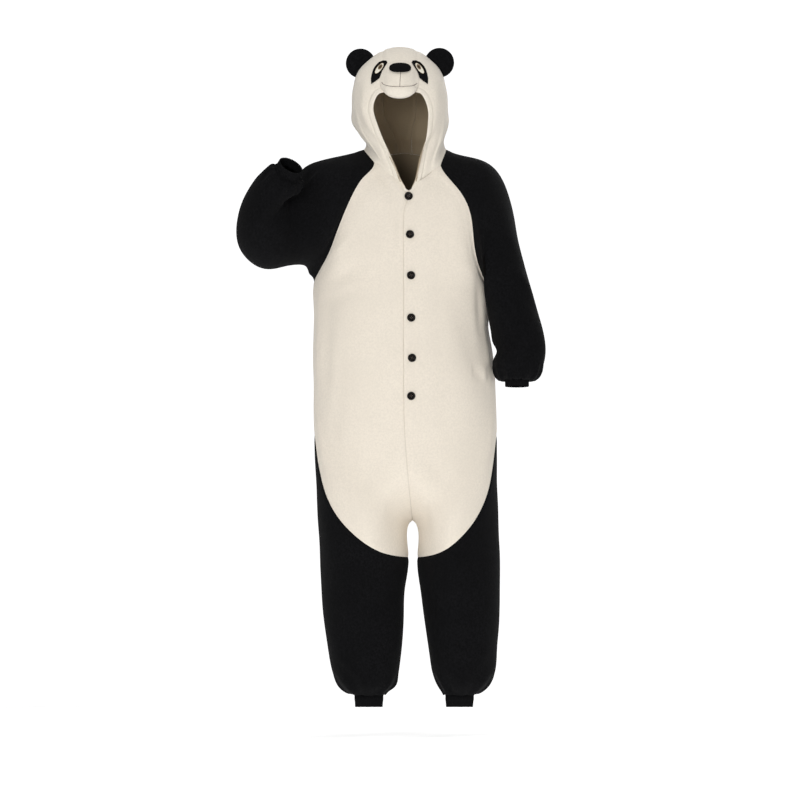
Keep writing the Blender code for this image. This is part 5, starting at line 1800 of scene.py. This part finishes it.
class ButtonStand(bpy.types.Operator):
    """Strip under the lap of the front, and the stitches that hold the lap's edge"""

    bl_idname = "costume.button_stand"
    bl_label = "Button Stand"

    def execute(self, context):
        sizes = context.scene.panda_sizes
        skin = smooth_skin(STAND_LEVELS)
        tree = surface_tree(skin["points"], skin["cells"])
        points, _ = border_line(["front_left"], STAND_LEVELS, "lap")
        keep = (points[:, 2] < STAND_TOP_Z) & (points[:, 2] > STAND_END_Z)
        front = []
        back = []
        for x, _, z in points[keep]:
            for column in range(STAND_COLUMNS + 1):
                place, normal = surface_hit(tree, x + STAND_WIDTH * column / STAND_COLUMNS + SHOWN_GAP, z)
                front.append(place - normal * SHOWN_GAP)
                back.append(place - normal * (SHOWN_GAP + WALL))
        cells = []
        wide = STAND_COLUMNS + 1
        for row in range(int(keep.sum()) - 1):
            for column in range(STAND_COLUMNS):
                first = row * wide + column
                cells.append([first, first + wide, first + wide + 1, first + 1])
        mesh = closed_mesh("button_stand", front, back, outward_cells(front, cells))
        piece = add_piece("cloth_button_stand", mesh, finish_for("cream_fleece"),
                          ["button_stand"])
        add_distances(mesh, np.full(len(front), 1.0))
        line, inward = border_line(["front_left"], FINE_LEVELS, "lap")
        laid = laid_line(line, inward, LAP_STITCH_AT, [SHELLS["front_left"]])
        add_stitches("lap_stitches", laid, sizes.stitch_pitch, sizes.stitch_length, sizes.stitch_thickness,
                     finish_for("cream_thread"))
        return {"FINISHED"}


def outward_cells(points, cells):
    """The same cells, turned where they face away from the front."""
    a, b, c = [np.array(points[cells[0][corner]]) for corner in range(3)]
    if np.cross(b - a, c - a)[1] > 0.0:
        return [cell[::-1] for cell in cells]
    return cells


def add_distances(mesh, distances):
    """Keeps each point's distance from the nearest seam, along which the fleece paints a line of shade, and
    whether it is on the inner wall, which the fleece darkens as painted shade.
    """
    kept = mesh.attributes.new("seam", "FLOAT", "POINT")
    kept.data.foreach_set("value", np.concatenate([distances, distances]))
    side = mesh.attributes.new("inside", "FLOAT", "POINT")
    side.data.foreach_set("value", np.repeat([0.0, 1.0], len(distances)))


class Buttons(bpy.types.Operator):
    """Six four-hole buttons down the front, each held by crossed thread"""

    bl_idname = "costume.buttons"
    bl_label = "Buttons"

    def execute(self, context):
        size = context.scene.panda_sizes.button_diameter / (2 * BUTTON_RADIUS)
        button = lathe_mesh("button_form", BUTTON_PROFILE, BUTTON_SEGMENTS)
        drills = bmesh.new()
        for x, y in BUTTON_HOLES:
            place = Matrix.Translation((x, y, 0.0))
            bmesh.ops.create_cone(
                drills, cap_ends=True, segments=BUTTON_HOLE_SEGMENTS, radius1=BUTTON_HOLE_RADIUS,
                radius2=BUTTON_HOLE_RADIUS, depth=BUTTON_DRILL, matrix=place,
            )
        drill_mesh = bpy.data.meshes.new("drills")
        drills.to_mesh(drill_mesh)
        drills.free()
        form = bpy.data.objects.new("button_form", button)
        drill = bpy.data.objects.new("drills", drill_mesh)
        for thing in (form, drill):
            context.scene.collection.objects.link(thing)
        cut = form.modifiers.new("holes", "BOOLEAN")
        cut.object = drill
        cut.operation = "DIFFERENCE"
        cut.solver = "EXACT"
        context.view_layer.update()
        graph = context.evaluated_depsgraph_get()
        drilled = bpy.data.meshes.new_from_object(form.evaluated_get(graph), depsgraph=graph)
        bpy.data.objects.remove(form)
        bpy.data.objects.remove(drill)
        drilled.shade_smooth()
        drilled.set_sharp_from_angle(angle=math.radians(BUTTON_SHARP_DEGREES))
        for number in range(1, len(BUTTONS) + 1):
            low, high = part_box(f"button_{number}")
            middle = (Vector(low) + Vector(high)) / 2
            place, normal = surface_hit(SHELLS["front_left"], middle.x, middle.z)
            for x, z in ((-1, 0), (1, 0), (0, 1), (0, -1)):
                beside = (middle.x + x * BUTTON_LEAN, middle.z + z * BUTTON_LEAN)
                near = surface_hit(SHELLS["front_left"], *beside)
                if near[1] is not None:
                    normal = normal + near[1]
            turn = normal.normalized().to_track_quat("Z", "Y").to_matrix().to_4x4()
            twist = Matrix.Rotation(math.radians(BUTTON_TWISTS[number - 1]), 4, "Z")
            where = Matrix.Translation(place + normal.normalized() * BUTTON_SEAT) @ turn @ twist
            mesh = drilled.copy()
            mesh.name = f"button_{number}"
            mesh.transform(where @ Matrix.Diagonal((size, size, 1.0, 1.0)))
            replaced = [f"button_{number}"]
            add_piece(f"moulded_button_{number}", mesh, finish_for("button"), replaced)
            thread = bmesh.new()
            for first, second in ((0, 2), (1, 3)):
                add_thread(thread, BUTTON_HOLES[first], BUTTON_HOLES[second], THREAD_CROSSING * first)
            thread_mesh = bpy.data.meshes.new(f"button_thread_{number}")
            thread.to_mesh(thread_mesh)
            thread.free()
            thread_mesh.transform(where)
            thread_mesh.shade_smooth()
            add_piece(f"button_thread_{number}", thread_mesh, finish_for("button_thread"), [])
        return {"FINISHED"}


def lathe_mesh(name, profile, segments):
    """A closed round form turned from radius and height pairs, whose first and last radius are nought."""
    points = [(0.0, 0.0, profile[0][1])]
    for radius, height in profile[1:-1]:
        for step in range(segments):
            angle = math.tau * step / segments
            points.append((radius * math.cos(angle), radius * math.sin(angle), height))
    points.append((0.0, 0.0, profile[-1][1]))
    rings = len(profile) - 2
    faces = []
    for step in range(segments):
        after = (step + 1) % segments
        faces.append((0, 1 + after, 1 + step))
        for ring in range(rings - 1):
            low = 1 + ring * segments
            high = low + segments
            faces.append((low + step, low + after, high + after, high + step))
        top = 1 + (rings - 1) * segments
        faces.append((top + step, top + after, len(points) - 1))
    mesh = bpy.data.meshes.new(name)
    mesh.from_pydata(points, [], faces)
    mesh.update()
    return mesh


def add_thread(target, start, end, extra):
    """A strand over the button's face from one hole down into the opposite one."""
    heights = {"low": BUTTON_FACE - BUTTON_THREAD_DROP, "face": BUTTON_FACE}
    heights["high"] = BUTTON_FACE + BUTTON_THREAD + extra
    start = Vector((*start, 0.0))
    end = Vector((*end, 0.0))
    path = []
    for share, height in THREAD_PATH:
        place = start.lerp(end, share)
        path.append(Vector((place.x, place.y, heights[height])))
    add_tube(target, path, BUTTON_THREAD, THREAD_SIDES)


def add_tube(target, path, radius, sides):
    rings = []
    for index, place in enumerate(path):
        before = path[max(0, index - 1)]
        after = path[min(len(path) - 1, index + 1)]
        turn = (after - before).to_track_quat("Z", "Y")
        ring = []
        for step in range(sides):
            angle = math.tau * step / sides
            way = Vector((math.cos(angle), math.sin(angle), 0.0))
            ring.append(target.verts.new(place + turn @ way * radius))
        rings.append(ring)
    for low, high in zip(rings, rings[1:]):
        for step in range(sides):
            after = (step + 1) % sides
            target.faces.new((low[step], low[after], high[after], high[step]))
    target.faces.new(rings[0][::-1])
    target.faces.new(rings[-1])


class Face(bpy.types.Operator):
    """Padded muzzle and nose, felt eyes with embroidered irises, and the sewn mouth"""

    bl_idname = "costume.face"
    bl_label = "Face"

    def execute(self, context):
        hood = hood_tree()
        felt = round_swell(FELT_THICKNESS, 0.0, FELT_RIM)
        outline = oval(dict(MUZZLE, points=MUZZLE_POINTS), None, MUZZLE_NARROWING)
        swell = round_swell(MUZZLE_EDGE, MUZZLE_RISE, PAD_RIM)
        muzzle, muzzle_tree = face_piece("muzzle", outline, MUZZLE_RINGS, hood, FACE_GAP, swell,
                                         firm_below, finish_for("hood_fleece"))
        add_distances(muzzle.data, np.full(len(muzzle.data.vertices) // 2, 1.0))
        outline = [(x, z - NOSE_DROOP * ((x - NOSE["x"]) / NOSE["across"]) ** 2)
                   for x, z in oval(dict(NOSE, points=NOSE_POINTS), None)]
        swell = round_swell(NOSE_EDGE, NOSE_RISE, PAD_RIM)
        nose, _ = face_piece("nose", outline, NOSE_RINGS, muzzle_tree, FACE_GAP, swell, firm_all_round,
                             finish_for("black_felt"))
        for side in SIDES:
            patch, patch_tree = face_piece(
                f"eye_patch_{side}", eye_patch_outline(side), PATCH_RINGS, hood, FACE_GAP, felt,
                firm_all_round, finish_for("black_felt"),
            )
            outline = oval(dict(EYE_WHITE, points=EYE_POINTS), side)
            white, white_tree = face_piece(
                f"eye_white_{side}", outline, WHITE_RINGS, patch_tree, FACE_GAP, felt,
                firm_all_round, finish_for("white_felt"),
            )
            edge = []
            for x, z in outline:
                inner = [lerp(at, to, EYE_LINE_IN) for at, to in zip((x, z), EYE_MIDDLE[side])]
                edge.append(Vector((x, front_depth(white_tree, *inner) - EYE_LINE_LIFT, z)))
            add_stitches(f"eye_line_{side}", edge + edge[:1], EYE_LINE_PITCH, EYE_LINE_LENGTH,
                         EYE_LINE_THICKNESS, finish_for("eye_line_thread"))
            outline = oval(dict(IRIS, points=EYE_POINTS), side)
            iris_swell = round_swell(IRIS_THICKNESS, 0.0, FELT_RIM)
            pupil_swell = round_swell(PUPIL_THICKNESS, 0.0, PUPIL_RIM)
            _, iris_tree = face_piece(
                f"iris_{side}", outline, IRIS_RINGS, white_tree, FACE_GAP, iris_swell,
                firm_all_round, finish_for("iris_thread"),
            )
            front, back, cells = pad_points(oval(PUPIL, side), PUPIL_RINGS, iris_tree, PUPIL_GAP, pupil_swell,
                                            firm_all_round)
            mesh = closed_mesh(f"pupil_{side}", front, back, cells)
            add_piece(f"pupil_{side}", mesh, finish_for("pupil_thread"), [])
        for name, row in (("mouth_curve", MOUTH_CURVE), ("mouth_centre", MOUTH_CENTRE)):
            line = [Vector((x, front_depth(muzzle_tree, x, z) - MOUTH_LIFT, z)) for x, z in smooth_row(row)]
            add_stitches(name, line, MOUTH_PITCH, MOUTH_LENGTH, MOUTH_THICKNESS, finish_for("mouth_thread"))
        return {"FINISHED"}


def smooth_row(row):
    """Points along a smooth curve through a short table of points."""
    points = [Vector((x, 0.0, z)) for x, z in row]
    points = [points[0] * 2 - points[1]] + points + [points[-1] * 2 - points[-2]]
    fine = []
    for a, b, c, d in zip(points, points[1:], points[2:], points[3:]):
        for step in range(CURVE_STEPS):
            t = step / CURVE_STEPS
            place = (b * 2 + (c - a) * t + (a * 2 - b * 5 + c * 4 - d) * t * t
                     + (b * 3 - a - c * 3 + d) * t * t * t) / 2
            fine.append((place.x, place.z))
    fine.append((points[-2].x, points[-2].z))
    return fine


def hood_tree():
    points = []
    cells = []
    for name in ("hood_right", "hood_left", "hood_centre"):
        shell, _, shell_cells, _ = panel_shell(name, FINE_LEVELS)
        cells.extend(tuple(int(index) + len(points) for index in cell) for cell in shell_cells)
        points.extend(tuple(place) for place in shell)
    return BVHTree.FromPolygons(points, cells)


class Ears(bpy.types.Operator):
    """Two padded round ears with a seam round the rim, sewn onto the hood"""

    bl_idname = "costume.ears"
    bl_label = "Ears"

    def execute(self, context):
        hood = hood_tree()
        for side in SIDES:
            ball = bmesh.new()
            bmesh.ops.create_uvsphere(ball, u_segments=EAR_SEGMENTS, v_segments=EAR_RINGS, radius=1.0)
            middle = Vector(EAR_PLACES[side])
            for vertex in ball.verts:
                way = vertex.co.copy()
                pinch = 1.0 - EAR_PINCH * math.exp(-((way.y / EAR_PINCH_WIDTH) ** 2))
                middle_share = math.exp(-((way.x ** 2 + way.z ** 2) / EAR_DISH_WIDTH ** 2))
                dent = 1.0 - EAR_DISH * middle_share * (way.y < 0)
                round_way = EAR_RADIUS * EAR_FULLNESS * pinch
                vertex.co = middle + Vector((way.x * round_way, EAR_HALF_THICKNESS * way.y * dent,
                                             way.z * round_way))
                place, normal, _, _ = hood.find_nearest(vertex.co)
                if (vertex.co - place).dot(normal) < FACE_GAP:
                    vertex.co = place + normal * FACE_GAP
            cells = [[vertex.index for vertex in face.verts] for face in ball.faces]
            clear = stand_clear([vertex.co for vertex in ball.verts], cells, hood, FACE_GAP)
            for vertex, place in zip(ball.verts, clear):
                vertex.co = place
            bmesh.ops.recalc_face_normals(ball, faces=ball.faces)
            mesh = bpy.data.meshes.new(f"ear_{side}")
            ball.to_mesh(mesh)
            ball.free()
            mesh.shade_smooth()
            piece = add_piece(f"padded_ear_{side}", mesh, finish_for("black_fleece"),
                              [f"ear_{side}"])
            kept = mesh.attributes.new("seam", "FLOAT", "POINT")
            kept.data.foreach_set("value", np.full(len(mesh.vertices), 1.0))
        return {"FINISHED"}


class HemStitches(bpy.types.Operator):
    """Row of stitches that holds the hem round the face opening"""

    bl_idname = "costume.hem_stitches"
    bl_label = "Hem Stitches"

    def execute(self, context):
        sizes = context.scene.panda_sizes
        hood = ["hood_right", "hood_centre", "hood_left"]
        points, sides = border_line(hood, FINE_LEVELS, "open")
        laid = laid_line(points, sides, sizes.hem_width - HEM_STITCH_IN, [SHELLS[name] for name in hood])
        add_stitches("hem_stitches", laid, sizes.stitch_pitch, sizes.stitch_length, sizes.stitch_thickness,
                     finish_for("cream_thread"))
        return {"FINISHED"}


class Stage(bpy.types.Operator):
    """Pale floor and backdrop, soft studio light and the camera"""

    bl_idname = "costume.stage"
    bl_label = "Stage"

    def execute(self, context):
        scene = context.scene
        floor = ring_mesh("floor", (0.0, FLOOR_RADIUS), (FLOOR_Z, FLOOR_Z))
        floor.materials.append(plain_stage("floor_paper", STAGE_TONE, STAGE_GLOW))
        low = FLOOR_Z - BACKDROP_DROP
        reaches = (0.0, BACKDROP_RADIUS, BACKDROP_RADIUS)
        backdrop = ring_mesh("backdrop", reaches, (low, low, low + BACKDROP_HEIGHT))
        backdrop.materials.append(plain_stage("backdrop_paper", STAGE_TONE, BACKDROP_GLOW))
        for mesh in (floor, backdrop):
            surround = bpy.data.objects.new(mesh.name, mesh)
            scene.collection.objects.link(surround)
            surround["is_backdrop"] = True
        # The backdrop, which is last, closes the view on all sides, so it takes no part in the light.
        surround.visible_diffuse = surround.visible_glossy = surround.visible_shadow = False
        for name, place, aim, size, power in LIGHTS:
            lamp = bpy.data.lights.new(name, "AREA")
            lamp.shape = "DISK"
            lamp.size = size
            lamp.energy = power
            light = bpy.data.objects.new(name, lamp)
            light.location = place
            light.rotation_euler = (Vector(aim) - Vector(place)).to_track_quat("-Z", "Y").to_euler()
            light.visible_camera = False
            scene.collection.objects.link(light)
        world = bpy.data.worlds.new("studio")
        world.use_nodes = True
        world.node_tree.nodes["Background"].inputs["Color"].default_value = (1.0, 1.0, 1.0, 1.0)
        world.node_tree.nodes["Background"].inputs["Strength"].default_value = WORLD_STRENGTH
        scene.world = world
        scene.view_settings.view_transform = "Standard"
        camera = bpy.data.cameras.new("camera")
        camera.lens = CAMERA_LENS
        camera.sensor_width = CAMERA_SENSOR
        holder = bpy.data.objects.new("camera", camera)
        holder.location = CAMERA_PLACE
        holder.rotation_euler = (math.pi / 2, 0.0, 0.0)
        scene.collection.objects.link(holder)
        scene.camera = holder
        return {"FINISHED"}


class CostumePanel(bpy.types.Panel):
    """Sizes, colours and pieces of the costume"""

    bl_idname = "VIEW3D_PT_panda_costume"
    bl_label = "Panda Costume"
    bl_space_type = "VIEW_3D"
    bl_region_type = "UI"
    bl_category = "Costume"

    def draw(self, context):
        for group in (context.scene.panda_sizes, context.scene.panda_colours):
            for name in group.__annotations__:
                self.layout.prop(group, name)
        for operator in OPERATORS:
            self.layout.operator(operator.bl_idname)


OPERATORS = (CreamCloth, BlackCloth, Cuffs, ButtonStand, Buttons, Face, Ears, HemStitches, Stage)
GROUPS = (PandaCostumeSizes, PandaCostumeColours)


def register():
    for item in GROUPS + OPERATORS + (CostumePanel,):
        bpy.utils.register_class(item)
    bpy.types.Scene.panda_sizes = bpy.props.PointerProperty(type=PandaCostumeSizes)
    bpy.types.Scene.panda_colours = bpy.props.PointerProperty(type=PandaCostumeColours)


def unregister():
    del bpy.types.Scene.panda_sizes
    del bpy.types.Scene.panda_colours
    for item in reversed(GROUPS + OPERATORS + (CostumePanel,)):
        bpy.utils.unregister_class(item)


def main():
    register()
    NODE_TREES["stitches"] = stitch_tree()
    NODE_TREES["ribs"] = rib_tree()
    for operator in OPERATORS:
        group, name = operator.bl_idname.split(".")
        getattr(getattr(bpy.ops, group), name)()
    boxes = {"cad": CAD_BOX, "visual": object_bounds()}
    {name: [list(corner) for corner in box] for name, box in boxes.items()}


if __name__ == "__main__":
    main()
